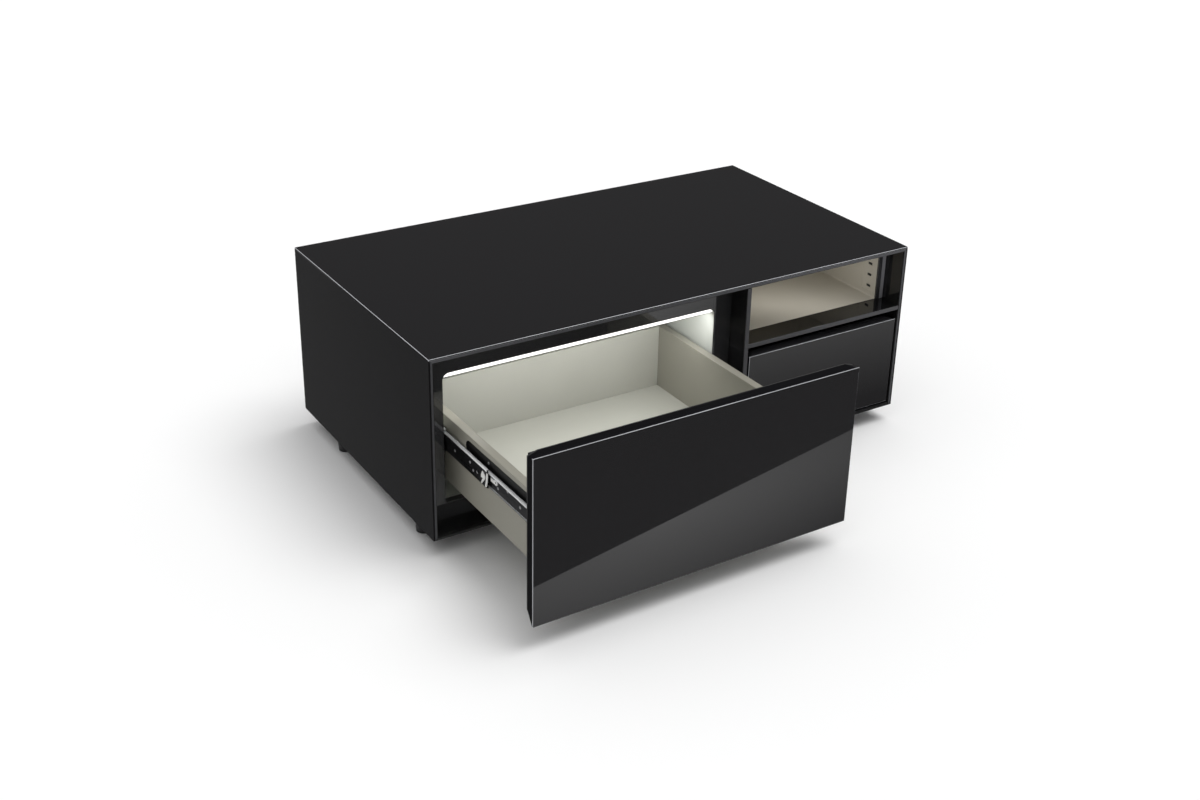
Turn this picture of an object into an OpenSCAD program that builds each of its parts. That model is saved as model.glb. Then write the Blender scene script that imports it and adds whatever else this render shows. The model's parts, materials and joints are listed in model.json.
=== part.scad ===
// Coffee table with a pull-out refrigerator drawer, a lit charging niche and a small storage drawer.
// Left to right is X, front to back is Y, and the floor is Z = 0. The fridge drawer is drawn pulled out.

/* [Table] */
// Width of the table
table_w = 1300; // [1200:10:1500]
// Depth of the table, without the drawer
table_d = 720; // [700:10:800]
// Height of the cabinet, without its feet
body_h = 432; // [425:1:480]
// How far the fridge drawer is pulled out as drawn
drawer_shown = 398; // [300:1:480]

/* [Panels] */
// Thickness of the glass on the top and sides
glass_t = 4; // [3:0.5:6]
// Ground chamfer round the edges of the glass
arris = 0.8; // [0.4:0.1:1.2]
// Thickness of the board under the top glass
top_board_t = 8; // [6:1:12]
// Thickness of the base board
base_t = 8; // [7:1:12]
// Thickness of each side board
side_board_t = 7; // [6:1:12]
// Thickness of the upright between the two bays
divider_t = 11; // [9:1:16]
// Thickness of the shelf under the niche
shelf_t = 10; // [8:1:14]
// Thickness of the metal strips on the front edges
trim_t = 2; // [1:0.5:3]
// Thickness of the steel back panel
back_t = 1.5; // [1:0.5:3]
// Thickness of the heads of its screws
screw_head_t = 1.5; // [1:0.1:2]
// Distance of the outer screws from the ends of the panel
back_screw_in = 90; // [60:1:120]

/* [Fridge compartment] */
// Width of the bay on the right, which holds the niche and the small drawer
niche_bay_w = 465; // [440:1:500]
// How far the glossy face plates lie behind the front
recess = 60; // [58:1:70]
// Thickness of the face plates
plate_t = 4; // [3:0.5:6]
// Width of the face plate beside the fridge opening
opening_side = 49; // [46:1:60]
// Height of the opening above the base board
opening_rise = 37; // [34:1:48]
// Height of the face plate above the opening
opening_drop = 60; // [54:1:66]
// Radius of the opening's upper corners
opening_r = 16; // [15:1:35]
// Radius of the opening's lower corners
opening_foot_r = 8; // [6:1:20]
// Depth of the black sill inside the opening's lower edge
sill_d = 20; // [12:1:30]
// Space for insulation and pipes behind the fridge cavity
rear_space = 70; // [66:1:100]
// Wall of the moulded liners
liner_t = 3; // [2:0.5:4]
// Height of the light strip
led_h = 12; // [8:1:14]
// Height of the rim under its lens
led_rim = 1.2; // [0.8:0.1:2]

/* [Drawer fronts] */
// Gap beside and under each drawer front
front_gap = 6; // [4:0.5:8]
// Finger gap above the fridge drawer front
fridge_grip_gap = 30; // [24:1:36]
// Finger gap above the small drawer front
small_grip_gap = 24; // [20:1:30]
// Thickness of a drawer front
front_t = 24; // [20:1:26]
// Thickness of the dark cover on the back of a front
cover_t = 4; // [3:0.5:5]
// How far the underside of a front slants up towards its back
slant = 27; // [20:1:30]
// How far the grip lip stands above the glass
lip_up = 5; // [3:0.5:7]
// Length over which the grip lip falls away at each end
lip_run = 24; // [16:1:32]
// Width of the frame rail behind the glass
frame_rail = 36; // [32:1:44]
// Inset of the insulated block from the sides of the front
block_side = 23; // [21:1:26]
// Inset of the insulated block from the top of the front
block_top = 20; // [16:1:22]
// Width of the magnetic gasket
gasket_w = 12; // [9:0.5:12]
// Depth of the magnetic gasket
gasket_t = 10; // [8:0.5:12]

/* [Fridge drawer box] */
// Height of the drawer walls
box_h = 160; // [140:1:170]
// Height of the drawer floor above the cavity floor
box_rise = 48; // [40:1:56]
// Thickness of the formed side walls, seen on their rims
box_wall = 20; // [16:1:24]
// Steel of the drawer walls and floor
box_sheet = 1.5; // [1:0.1:2]
// Clearance behind the closed drawer's rear wall
box_rear_gap = 12; // [8:1:20]
// Height of the long slot in each side wall
slot_h = 34; // [24:1:36]
// Length of the long slot in each side wall
slot_l = 315; // [250:1:400]

/* [Slides] */
// Thickness of a ball bearing slide
slide_t = 12.7; // [12.4:0.1:13.2]
// Height of the fixed member
slide_h = 53; // [50:0.5:56]
// Height of the fixed member of the small drawer's slides
small_slide_h = 45; // [40:0.5:50]
// How far the middle of the slides lies under the slot in the drawer wall
slide_drop = 9.5; // [7:0.5:12]
// Space for the balls between the fixed and the middle members
race_gap = 3; // [2.5:0.1:4]
// Space for the balls between the middle and the inner members
inner_race_gap = 1.8; // [1.6:0.1:3]
// Steel of the slide members
slide_steel = 1.5; // [1.2:0.1:1.8]
// Space behind the slides of the fridge drawer
slide_rear_gap = 37; // [20:1:60]
// Where the release levers sit, as a share of the slide's length
lever_share = 0.354; // [0.3:0.002:0.4]

/* [Niche] */
// Height of the niche under the top board
niche_h = 143; // [130:1:160]
// Depth of the niche behind its face plate
niche_d = 260; // [220:5:290]
// Side margin between the niche opening and the bay
niche_margin = 12; // [10:1:20]
// Radius of the upright corners at the back of the niche
niche_r = 40; // [20:1:60]
// Width of the strip that closes the corner beside the plate
corner_strip_w = 11; // [8:1:11]

/* [Small drawer] */
// Depth of the small drawer box
small_box_d = 330; // [300:5:345]
// How far the small drawer box ends below the top of its front
small_box_drop = 59; // [40:1:70]
// Clearance behind the small drawer box
small_rear_gap = 60; // [50:1:80]
// Thickness of its boards
small_board = 12; // [9:1:15]
// Thickness of its bottom
small_bottom_t = 5; // [3:1:8]

/* [Cooling system] */
// Diameter of the compressor shell
compressor_d = 130; // [110:1:150]
// Height of the compressor shell
compressor_h = 150; // [130:1:170]
// How far the compressor's base plate reaches past its shell
compressor_foot = 9; // [8:1:14]
// Distance of that base plate from the divider
compressor_in = 36; // [20:1:60]
// Size of the square fan frame
fan_s = 120; // [110:1:130]
// Distance from the middle of the fan to the side board
fan_in = 110; // [90:1:130]
// Thickness of the fan frame
fan_t = 25; // [25:1:38]
// Diameter of the fan shaft
fan_shaft_d = 4; // [3:0.5:6]
// Width of the condenser block
condenser_w = 150; // [130:5:180]
// Height of the condenser block
condenser_h = 140; // [125:1:180]
// Depth of the condenser block
condenser_d = 44; // [30:1:60]
// Diameter of the copper pipes
pipe_d = 6; // [5:0.5:8]

/* [Feet] */
// Height of the feet
foot_h = 42; // [30:1:60]
// Diameter at the top of a foot
foot_top_d = 40; // [30:1:60]
// Diameter at the bottom of a foot
foot_bottom_d = 34; // [26:1:50]
// Inset of the left feet from the left side
foot_left_in = 31; // [26:1:80]
// Inset of the right feet from the right side
foot_right_in = 122; // [35:1:200]
// Distance of the front left foot from the front
foot_left_front = 115; // [40:1:160]
// Distance of the rear left foot from the back
foot_left_rear = 175; // [40:1:240]
// Distance of the front right foot from the front
foot_right_front = 26; // [24:1:120]
// Distance of the rear right foot from the back
foot_right_rear = 80; // [24:1:120]

/* [Hidden] */
$fn = 48;

// Gap between pieces that move past each other
clear = 0.3;
// Small excess that takes a cut past a face
eps = 1;

// A range about a middle, and a range made smaller at both ends
function span(middle, half) = [middle - half, middle + half];
function inset(range, by) = [range[0] + by, range[1] - by];

// Heights
base_z = foot_h + base_t;
top_z = foot_h + body_h;
board_top_z = top_z - glass_t;
ceiling_z = board_top_z - top_board_t;

// Places from left to right
bay_x0 = glass_t + side_board_t;
niche_bay_x1 = table_w - glass_t - side_board_t;
niche_bay_x0 = niche_bay_x1 - niche_bay_w;
bay_x1 = niche_bay_x0 - divider_t;

// Back panel
back_y0 = table_d - screw_head_t - back_t;
back_y1 = table_d - screw_head_t;

// Fridge cavity
cavity_x0 = bay_x0 + opening_side;
cavity_x1 = bay_x1 - opening_side;
cavity_z0 = base_z + opening_rise;
cavity_z1 = ceiling_z - opening_drop;
cavity_y0 = recess + plate_t;
cavity_y1 = table_d - rear_space;

// The evaporator lies against the back of the liner, in a pocket of the foam
evaporator_x = [cavity_x0 + 60, cavity_x1 - 60];
evaporator_z = [cavity_z0 + 40, cavity_z1 - 40];
evaporator_t = 1.5;
channel_t = 4;
channel_rows = 6;
channel_pitch = (evaporator_z[1] - evaporator_z[0]) / (channel_rows + 1);
function channel_z(row) = evaporator_z[0] + row * channel_pitch;

// Where the pipes pass from the fridge into the machine bay
pipe_pass_y = cavity_y1 + liner_t + 30;
pipe_pass_z = [channel_z(channel_rows), channel_z(channel_rows - 1)];
pipe_sleeve = 1;

// Niche and shelf
shelf_z1 = ceiling_z - niche_h;
shelf_z0 = shelf_z1 - shelf_t;
niche_x0 = niche_bay_x0 + niche_margin;
niche_x1 = niche_bay_x1 - niche_margin - corner_strip_w;
niche_z1 = ceiling_z - liner_t;
niche_y0 = recess + plate_t;
niche_y1 = recess + niche_d;
partition_y = front_t + small_box_d + small_rear_gap;
partition_t = 9;

// Drawer fronts, closed: [x0, x1] and [z0, z1]
fridge_x = [bay_x0 + front_gap, bay_x1 - front_gap];
fridge_z = [base_z + front_gap, ceiling_z - fridge_grip_gap];
small_x = [niche_bay_x0 + front_gap, niche_bay_x1 - front_gap];
small_z = [base_z + front_gap, shelf_z0 - small_grip_gap];

// Fridge drawer box, closed
box_y0 = recess - gasket_t;
box_y1 = cavity_y1 - box_rear_gap;
box_x0 = cavity_x0 + slide_t;
box_x1 = cavity_x1 - slide_t;
box_z0 = cavity_z0 + box_rise;
box_z1 = box_z0 + box_h;
rim_above_slot = 12;
slot_z1 = box_z1 - rim_above_slot;
slot_z0 = slot_z1 - slot_h;

// Slides
middle_h = slide_h - 2 * slide_steel - 2 * race_gap;
inner_h = middle_h - 2 * slide_steel - 2 * inner_race_gap;
slide_z = slot_z0 - slide_drop;
slide_y0 = cavity_y0 + 4;
slide_l = cavity_y1 - slide_rear_gap - slide_y0;
lever_y = box_y0 + slide_l * lever_share;
lever_z = slide_z + 6;
middle_in = 3.2;
middle_flange = slide_t - middle_in - 3.5;
inner_flange = slide_t - middle_in - slide_steel - 3;

// Small drawer
small_box_x = [niche_bay_x0 + slide_t, niche_bay_x1 - slide_t];
small_box_z0 = small_z[0] + slant + 3;
small_box_z1 = small_z[1] - small_box_drop;
small_slide_z = (small_box_z0 + small_box_z1) / 2;

// Machine bay behind the partition
machine_y0 = partition_y + partition_t;
machine_y1 = back_y0;
compressor_x = niche_bay_x0 + compressor_in + compressor_foot + compressor_d / 2;
compressor_y = (machine_y0 + machine_y1) / 2;
grommet_h = 10;
fan_x = niche_bay_x1 - fan_in;
fan_z = base_z + 10 + fan_s / 2;
fan_y1 = machine_y1 - 8;
condenser_y1 = fan_y1 - fan_t - 6;

// Draws what follows with the middle of the drawn table over the origin
module in_frame() {
    translate([-table_w / 2, -(table_d - drawer_shown) / 2, 0]) children();
}

// Carries what belongs to the fridge drawer out with it
module pulled() {
    in_frame() translate([0, -drawer_shown, 0]) children();
}

// Carries what belongs to the middle slide members, which travel half as far
module half_pulled() {
    in_frame() translate([0, -drawer_shown / 2, 0]) children();
}

// A block given by its ranges
module block(x, y, z) {
    translate([x[0], y[0], z[0]]) cube([x[1] - x[0], y[1] - y[0], z[1] - z[0]]);
}

// A rectangle with round corners, from the origin
module rounded_rect(w, h, r) {
    union() {
        translate([r, 0]) square([w - 2 * r, h]);
        translate([0, r]) square([w, h - 2 * r]);
        for (x = [r, w - r], y = [r, h - r]) translate([x, y]) circle(r);
    }
}

// A block as seen from the front, with its upper corners round by r and its lower ones by foot_r
module window(x, y, z, r, foot_r) {
    w = x[1] - x[0];
    h = z[1] - z[0];
    translate([x[0], y[1], z[0]]) rotate([90, 0, 0]) linear_extrude(y[1] - y[0]) union() {
        translate([foot_r, 0]) square([w - 2 * foot_r, foot_r]);
        translate([0, foot_r]) square([w, h - r - foot_r]);
        translate([r, h - r]) square([w - 2 * r, r]);
        for (x = [foot_r, w - foot_r]) translate([x, foot_r]) circle(foot_r);
        for (x = [r, w - r]) translate([x, h - r]) circle(r);
    }
}

// A block with round corners as seen from above
module upright(x, y, z, r) {
    translate([x[0], y[0], z[0]]) linear_extrude(z[1] - z[0])
        rounded_rect(x[1] - x[0], y[1] - y[0], r);
}

// A straight rod along X, Y or Z
module rod_x(x, y, z, r) {
    translate([x[0], y, z]) rotate([0, 90, 0]) cylinder(h = x[1] - x[0], r = r);
}
module rod_y(x, y, z, r) {
    translate([x, y[1], z]) rotate([90, 0, 0]) cylinder(h = y[1] - y[0], r = r);
}
module rod_z(x, y, z, r) {
    translate([x, y, z[0]]) cylinder(h = z[1] - z[0], r = r);
}

// Shows a piece again on the other side of a plane at x
module mirrored_at(x) {
    children();
    translate([2 * x, 0, 0]) mirror([1, 0, 0]) children();
}

// A glass pane lying flat, with ground edges along its top
module flat_pane(x, y, z) {
    w = x[1] - x[0];
    d = y[1] - y[0];
    h = z[1] - z[0];
    intersection() {
        translate([x[0], y[1], z[0]]) rotate([90, 0, 0]) linear_extrude(d)
            polygon([[0, 0], [w, 0], [w, h - arris], [w - arris, h], [arris, h], [0, h - arris]]);
        translate([x[0], y[0], z[0]]) rotate([90, 0, 90]) linear_extrude(w)
            polygon([[0, 0], [d, 0], [d, h - arris], [d - arris, h], [arris, h], [0, h - arris]]);
    }
}

module top_glass() {
    color("#1f1e20") in_frame()
        flat_pane([0, table_w], [0, table_d], [board_top_z, top_z]);
}

module top_board() {
    color("#2a292b") in_frame()
        block([glass_t, table_w - glass_t], [trim_t, back_y0], [ceiling_z, board_top_z]);
}

// A side pane, its outer arrises ground at the front and the back
module side_pane() {
    translate([0, 0, foot_h]) linear_extrude(board_top_z - foot_h)
        polygon([[glass_t, 0], [arris, 0], [0, arris], [0, table_d - arris], [arris, table_d],
                 [glass_t, table_d]]);
}

module left_side_glass() {
    color("#232224") in_frame() side_pane();
}

module right_side_glass() {
    color("#232224") in_frame() translate([table_w, 0, 0]) mirror([1, 0, 0]) side_pane();
}

module side_boards() {
    color("#2a292b") in_frame() difference() {
        mirrored_at(table_w / 2) block([glass_t, bay_x0], [trim_t, back_y0], [base_z, ceiling_z]);
        back_screw_bores();
    }
}

module centre_divider() {
    color("#262527") in_frame() difference() {
        block([bay_x1, niche_bay_x0], [trim_t, back_y0], [base_z, ceiling_z]);
        for (z = pipe_pass_z)
            rod_x([bay_x1 - eps, niche_bay_x0 + eps], pipe_pass_y, z, pipe_d / 2 + pipe_sleeve);
        back_screw_bores();
    }
}

module base_board() {
    color("#262527") in_frame() difference() {
        block([glass_t, table_w - glass_t], [trim_t, back_y0], [foot_h, base_z]);
        for (p = foot_places) rod_z(p[0], p[1], [foot_h - eps, base_z + eps], stud_d / 2);
        for (i = [0 : intake_slots - 1])
            block([fan_x - 50, fan_x + 50], span(machine_y0 + 30 + i * 20, 4), [foot_h - eps, base_z + eps]);
    }
}
// Air slots in the base in front of the condenser
intake_slots = 8;

grille_x = [fan_x - fan_s / 2 - 6, fan_x + fan_s / 2 + 6];
grille_z = [fan_z - fan_s / 2 - 4, fan_z + fan_s / 2 + 6];
inlet_x = [compressor_x - 60, compressor_x - 30];
inlet_h = 24;
inlet_z = span(base_z + condenser_h / 2 + 2, inlet_h / 2);

module back_panel() {
    color("#3a3b3d") in_frame() difference() {
        block([glass_t, table_w - glass_t], [back_y0, back_y1], [foot_h, board_top_z]);
        block(grille_x, [back_y0 - eps, table_d], grille_z);
        block(inlet_x, [back_y0 - eps, table_d], inlet_z);
        for (p = back_screws) rod_y(p[0], [back_y0 - eps, table_d], p[1], screw_d / 2);
    }
}

module shelf_board() {
    color("#1b1a1c") in_frame()
        block([niche_bay_x0, niche_bay_x1], [trim_t, machine_y0], [shelf_z0, shelf_z1]);
}

// The four strips round the cabinet's front edge, mitred where they meet
module outer_edge_trims() {
    color("#5a5b5e") in_frame() {
        block([glass_t, table_w - glass_t], [0, trim_t], [ceiling_z, board_top_z]);
        block([glass_t, table_w - glass_t], [0, trim_t], [foot_h, base_z]);
        block([glass_t, bay_x0], [0, trim_t], [base_z, ceiling_z]);
        block([niche_bay_x1, table_w - glass_t], [0, trim_t], [base_z, ceiling_z]);
    }
}

// The strips on the divider and the shelf, and the one that closes the right corner of the bay
module inner_edge_trims() {
    corner_x = [niche_bay_x1 - corner_strip_w, niche_bay_x1];
    color("#5a5b5e") in_frame() {
        block([bay_x1, niche_bay_x0], [0, trim_t], [base_z, ceiling_z]);
        block([niche_bay_x0, niche_bay_x1], [0, trim_t], [shelf_z0, shelf_z1]);
        block(corner_x, [recess, recess + plate_t], [shelf_z1, ceiling_z]);
        block(corner_x, [recess, recess + plate_t], [small_z[1] + lip_up + 2, shelf_z0]);
    }
}

module fridge_face_plate() {
    color("#1b1a1c") in_frame() difference() {
        block([bay_x0, bay_x1], [recess, recess + plate_t], [base_z, ceiling_z]);
        window([cavity_x0 - lip_t, cavity_x1 + lip_t], [recess - eps, recess + plate_t + eps],
               [cavity_z0 - lip_t, cavity_z1 + lip_t], opening_r + lip_t, opening_foot_r + lip_t);
    }
    color("#1b1a1c") in_frame() sill();
}

// A strip behind the plate that lines the bottom of the opening and turns up round its lower corners
sill_t = 1.5;
module sill() {
    y = [recess + plate_t, recess + sill_d];
    difference() {
        window([cavity_x0, cavity_x1], y, [cavity_z0, cavity_z1], opening_r, opening_foot_r);
        window(inset([cavity_x0, cavity_x1], sill_t), inset(y, -eps), [cavity_z0 + sill_t, cavity_z1],
               opening_r, opening_foot_r - sill_t);
        block(inset([cavity_x0, cavity_x1], -eps), inset(y, -eps), [cavity_z0 + opening_foot_r, cavity_z1 + eps]);
    }
}

// The white edging of the opening
lip_t = 1.5;
module liner_lip() {
    color("#d9d8d2") in_frame() difference() {
        window([cavity_x0 - lip_t, cavity_x1 + lip_t], [recess, recess + plate_t],
               [cavity_z0 - lip_t, cavity_z1 + lip_t], opening_r + lip_t, opening_foot_r + lip_t);
        window([cavity_x0, cavity_x1], [recess - eps, recess + plate_t + eps],
               [cavity_z0, cavity_z1], opening_r, opening_foot_r);
    }
}

module fridge_liner() {
    color("#c9c9c0") in_frame() difference() {
        window([cavity_x0 - liner_t, cavity_x1 + liner_t], [cavity_y0, cavity_y1 + liner_t],
               [cavity_z0 - liner_t, cavity_z1 + liner_t], opening_r + liner_t, opening_foot_r + liner_t);
        window([cavity_x0, cavity_x1], [cavity_y0 - eps, cavity_y1], [cavity_z0, cavity_z1],
               opening_r, opening_foot_r);
    }
}

module evaporator_plate() {
    y0 = cavity_y1 + liner_t;
    color("#b8bbbf") in_frame() {
        block(evaporator_x, [y0, y0 + evaporator_t], evaporator_z);
        for (row = [1 : channel_rows]) {
            z = channel_z(row);
            block([evaporator_x[0] + 20, evaporator_x[1] - 20], [y0 + evaporator_t, y0 + channel_t],
                  [z - 3, z + 3]);
            if (row < channel_rows) {
                x = row % 2 == 1 ? evaporator_x[1] - 26 : evaporator_x[0] + 20;
                block([x, x + 6], [y0 + evaporator_t, y0 + channel_t], [z, z + channel_pitch]);
            }
        }
    }
}

module insulation_foam() {
    y0 = cavity_y1 + liner_t;
    color("#e2d9a8") in_frame() difference() {
        block([bay_x0, bay_x1], [cavity_y0, machine_y1], [base_z, ceiling_z]);
        window([cavity_x0 - liner_t, cavity_x1 + liner_t], [cavity_y0 - eps, y0],
               [cavity_z0 - liner_t, cavity_z1 + liner_t], opening_r + liner_t, opening_foot_r + liner_t);
        block(evaporator_x, [y0 - eps, y0 + channel_t], evaporator_z);
        for (z = pipe_pass_z) {
            rod_x([pipe_turn_x - pipe_d, bay_x1 + eps], pipe_pass_y, z, pipe_d / 2 + pipe_sleeve);
            rod_y(pipe_turn_x, [y0, pipe_pass_y + pipe_d / 2 + pipe_sleeve], z, pipe_d / 2 + pipe_sleeve);
        }
    }
}

// The light strip hangs from the ceiling of the liner, just behind the face plate
led_y = [cavity_y0 + 2, cavity_y0 + 14];
led_cap = 2.5;
led_lens = 3;
led_x = inset([cavity_x0, cavity_x1], 2);

// The light strip follows the round corners of the liner
module led_bar(y, grow = 0) {
    intersection() {
        block(inset(led_x, -grow), y, [cavity_z1 - led_h - 2 * grow, cavity_z1 + grow]);
        window(inset([cavity_x0, cavity_x1], -grow), [y[0] - eps, y[1] + eps],
               inset([cavity_z0, cavity_z1], -grow), opening_r + grow, opening_foot_r);
    }
}

led_lens_z = [cavity_z1 - led_h + led_rim, cavity_z1 + eps];

module led_housing() {
    color("#8f908c") in_frame() difference() {
        led_bar(led_y);
        block(inset(led_x, -eps), [led_y[0] - eps, led_y[0] + led_lens], led_lens_z);
        block(inset(led_x, opening_r), [led_y[0] + led_lens - eps, led_y[1] - led_cap],
              [led_lens_z[0], cavity_z1 - led_cap]);
    }
}

module led_diffuser() {
    color("white") in_frame() intersection() {
        led_bar([led_y[0], led_y[0] + led_lens]);
        block(inset(led_x, -eps), [led_y[0] - eps, led_y[1]], led_lens_z);
    }
}

module niche_face_plate() {
    color("#1b1a1c") in_frame() difference() {
        block([niche_bay_x0, niche_bay_x1 - corner_strip_w], [recess, recess + plate_t],
              [shelf_z1, ceiling_z]);
        block([niche_x0, niche_x1], [recess - eps, recess + plate_t + eps], [shelf_z1 - eps, niche_z1]);
    }
}

// The moulded niche: floor, ceiling and a wall that turns through round corners at the back
module niche_liner() {
    x = [niche_x0 - liner_t, niche_x1 + liner_t];
    color("#bdb9ab") in_frame() difference() {
        union() {
            upright(x, [niche_y0 - niche_r, niche_y1], [shelf_z1, ceiling_z], niche_r + liner_t);
        }
        upright([niche_x0, niche_x1], [niche_y0 - niche_r, niche_y1 - liner_t],
                [shelf_z1 + floor_skin, niche_z1], niche_r);
        block([x[0] - eps, x[1] + eps], [niche_y0 - niche_r - eps, niche_y0],
              [shelf_z1 - eps, ceiling_z + eps]);
        block([niche_x1 - eps, niche_x1 + liner_t + eps], socket_y, socket_z);
    }
}

// The charging sockets sit one above the other in the right wall, near the front
floor_skin = 1;
socket_y = [niche_y0 + 12, niche_y0 + 50];
socket_count = 3;
socket_pitch = 29.5;
socket_margin = 7;
socket_mid_z = (shelf_z1 + ceiling_z) / 2 - 15;
usb_w = 14;
usb_h = 6.4;
usb_d = 16;
usb_wall = 0.6;
usb_y = niche_y0 + 26;
usb_z0 = socket_mid_z - socket_pitch * (socket_count - 1) / 2;
socket_z = span(socket_mid_z, socket_pitch * (socket_count - 1) / 2 + usb_w / 2 + socket_margin);

module socket_plate() {
    plate_d = liner_t - 0.5;
    color("#b4b0a2") in_frame() difference() {
        block([niche_x1 + 0.5, niche_x1 + 0.5 + plate_d], socket_y, socket_z);
        for (i = [0 : socket_count - 1])
            block([niche_x1 - eps, niche_x1 + liner_t + eps], span(usb_y, usb_w / 2),
                  span(usb_z0 + i * socket_pitch, usb_h / 2));
    }
}

// Three shells with their contact tongues
module usb_sockets() {
    color("#3c3d40") in_frame() for (i = [0 : socket_count - 1]) {
        z = usb_z0 + i * socket_pitch;
        x = [niche_x1 + 1, niche_x1 + 1 + usb_d];
        difference() {
            block([x[0] - 0.5, x[1]], span(usb_y, usb_w / 2), span(z, usb_h / 2));
            difference() {
                block([x[0] - eps, x[1] - 2], span(usb_y, usb_w / 2 - usb_wall), span(z, usb_h / 2 - usb_wall));
                block([x[0] + 1, x[1]], span(usb_y, usb_w / 2 - 1.4), [z - 0.3, z + 1.5]);
            }
        }
    }
}

module machine_partition() {
    color("#4a4a4c") in_frame()
        block([niche_bay_x0, niche_bay_x1], [partition_y, partition_y + partition_t], [base_z, shelf_z0]);
}

// Feet: [x, y] of each
foot_places = [
    [foot_left_in, foot_left_front],
    [foot_left_in, table_d - foot_left_rear],
    [table_w - foot_right_in, foot_right_front],
    [table_w - foot_right_in, table_d - foot_right_rear]
];
stud_d = 8;
stud_l = 14;
pad_h = 4;

module feet() {
    color("#17171a") in_frame() for (p = foot_places) translate([p[0], p[1], 0]) difference() {
        union() {
            cylinder(h = pad_h, d = foot_bottom_d);
            translate([0, 0, pad_h])
                cylinder(h = foot_h - pad_h, d1 = foot_bottom_d + 1, d2 = foot_top_d);
        }
        translate([0, 0, foot_h - stud_l]) cylinder(h = stud_l + eps, d = stud_d);
    }
}

module foot_studs() {
    color("#a5a7aa") in_frame() for (p = foot_places)
        rod_z(p[0], p[1], [foot_h - stud_l, base_z], stud_d / 2);
}

// Screws of the back panel: [x, z] of each
screw_d = 4;
screw_head_d = 6.5;
screw_l = 14;
back_screws = [
    for (x = [glass_t + side_board_t / 2, (bay_x1 + niche_bay_x0) / 2, table_w - glass_t - side_board_t / 2],
         z = [foot_h + back_screw_in, foot_h + body_h / 2, board_top_z - back_screw_in]) [x, z]
];

module panel_screws() {
    color("#8d8f92") in_frame() for (p = back_screws) {
        rod_y(p[0], [back_y1 - screw_l, back_y1], p[1], screw_d / 2);
        rod_y(p[0], [back_y1, table_d], p[1], screw_head_d / 2);
    }
}

module back_screw_bores() {
    for (p = back_screws) rod_y(p[0], [back_y1 - screw_l, table_d], p[1], screw_d / 2);
}

// The compressor stands on a plate with four rubber grommets
compressor_plate = 3;
compressor_half = [compressor_d / 2 + compressor_foot, compressor_d / 2 - 1];
grommet_in = 12;
grommet_r = 6;
relay_reach = 14;
grommet_places = [
    for (x = [-1, 1], y = [-1, 1])
        [compressor_x + x * (compressor_half[0] - grommet_in), compressor_y + y * (compressor_half[1] - grommet_in)]
];

module compressor() {
    r = compressor_d / 2;
    z0 = base_z + grommet_h;
    body_z = z0 + compressor_plate;
    dome = 26;
    color("#1a1a1c") in_frame() difference() {
        union() {
            block(span(compressor_x, compressor_half[0]), span(compressor_y, compressor_half[1]), [z0, body_z]);
            translate([compressor_x, compressor_y, body_z]) rotate_extrude() polygon(concat(
                [[0, 0], [r - 8, 0], [r, 8], [r, compressor_h - dome]],
                [for (a = [10 : 10 : 80]) [r * cos(a), compressor_h - dome + dome * sin(a)]],
                [[0, compressor_h]]));
            block([compressor_x + r - 6, compressor_x + r + relay_reach], span(compressor_y, 18),
                  span(body_z + compressor_h * 0.43, 25));
        }
        for (p = grommet_places) rod_z(p[0], p[1], [z0 - eps, body_z + eps], grommet_r);
    }
}

module compressor_grommets() {
    color("#101012") in_frame() for (p = grommet_places) {
        plate_z = base_z + grommet_h;
        rod_z(p[0], p[1], [base_z, plate_z], grommet_r + 4);
        rod_z(p[0], p[1], [plate_z, plate_z + compressor_plate], grommet_r);
        rod_z(p[0], p[1], [plate_z + compressor_plate, plate_z + compressor_plate + 3], grommet_r + 3);
    }
}

// Fins strung on four tube runs that stand on the base
fin_pitch = 5;
fin_t = 0.8;

module condenser_coil() {
    x = [fan_x - condenser_w / 2, fan_x + condenser_w / 2];
    y = [condenser_y1 - condenser_d, condenser_y1];
    z = [base_z, base_z + condenser_h];
    color("#b3a08c") in_frame() union() {
        for (i = [0 : floor((x[1] - x[0]) / fin_pitch)])
            block([x[0] + i * fin_pitch, x[0] + i * fin_pitch + fin_t], y, z);
        for (row = [0.15, 0.38, 0.62, 0.85])
            rod_x([x[0], x[0] + floor((x[1] - x[0]) / fin_pitch) * fin_pitch + fin_t],
                  (y[0] + y[1]) / 2, z[0] + row * condenser_h, pipe_d / 2);
    }
}

// The fan frame carries the motor hub on four struts and blows through the rear grille
hub_r = 18;
fan_bore_r = fan_s / 2 - 4;
motor_t = 8;

module fan_frame() {
    y = [fan_y1 - fan_t, fan_y1];
    color("#202023") in_frame() {
        difference() {
            block([fan_x - fan_s / 2, fan_x + fan_s / 2], y, [base_z, fan_z + fan_s / 2]);
            rod_y(fan_x, [y[0] - eps, y[1] + eps], fan_z, fan_bore_r);
        }
        rod_y(fan_x, [y[0], y[0] + motor_t], fan_z, hub_r);
        rod_y(fan_x, [y[0] + motor_t, y[1] - 1], fan_z, fan_shaft_d / 2);
        for (a = [45 : 90 : 315]) translate([fan_x, y[0], fan_z]) rotate([0, a, 0])
            block([hub_r - 2, fan_bore_r + 1], [0, 3], [-2.5, 2.5]);
    }
}

blade_count = 7;
blade_tilt = 32;

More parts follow.
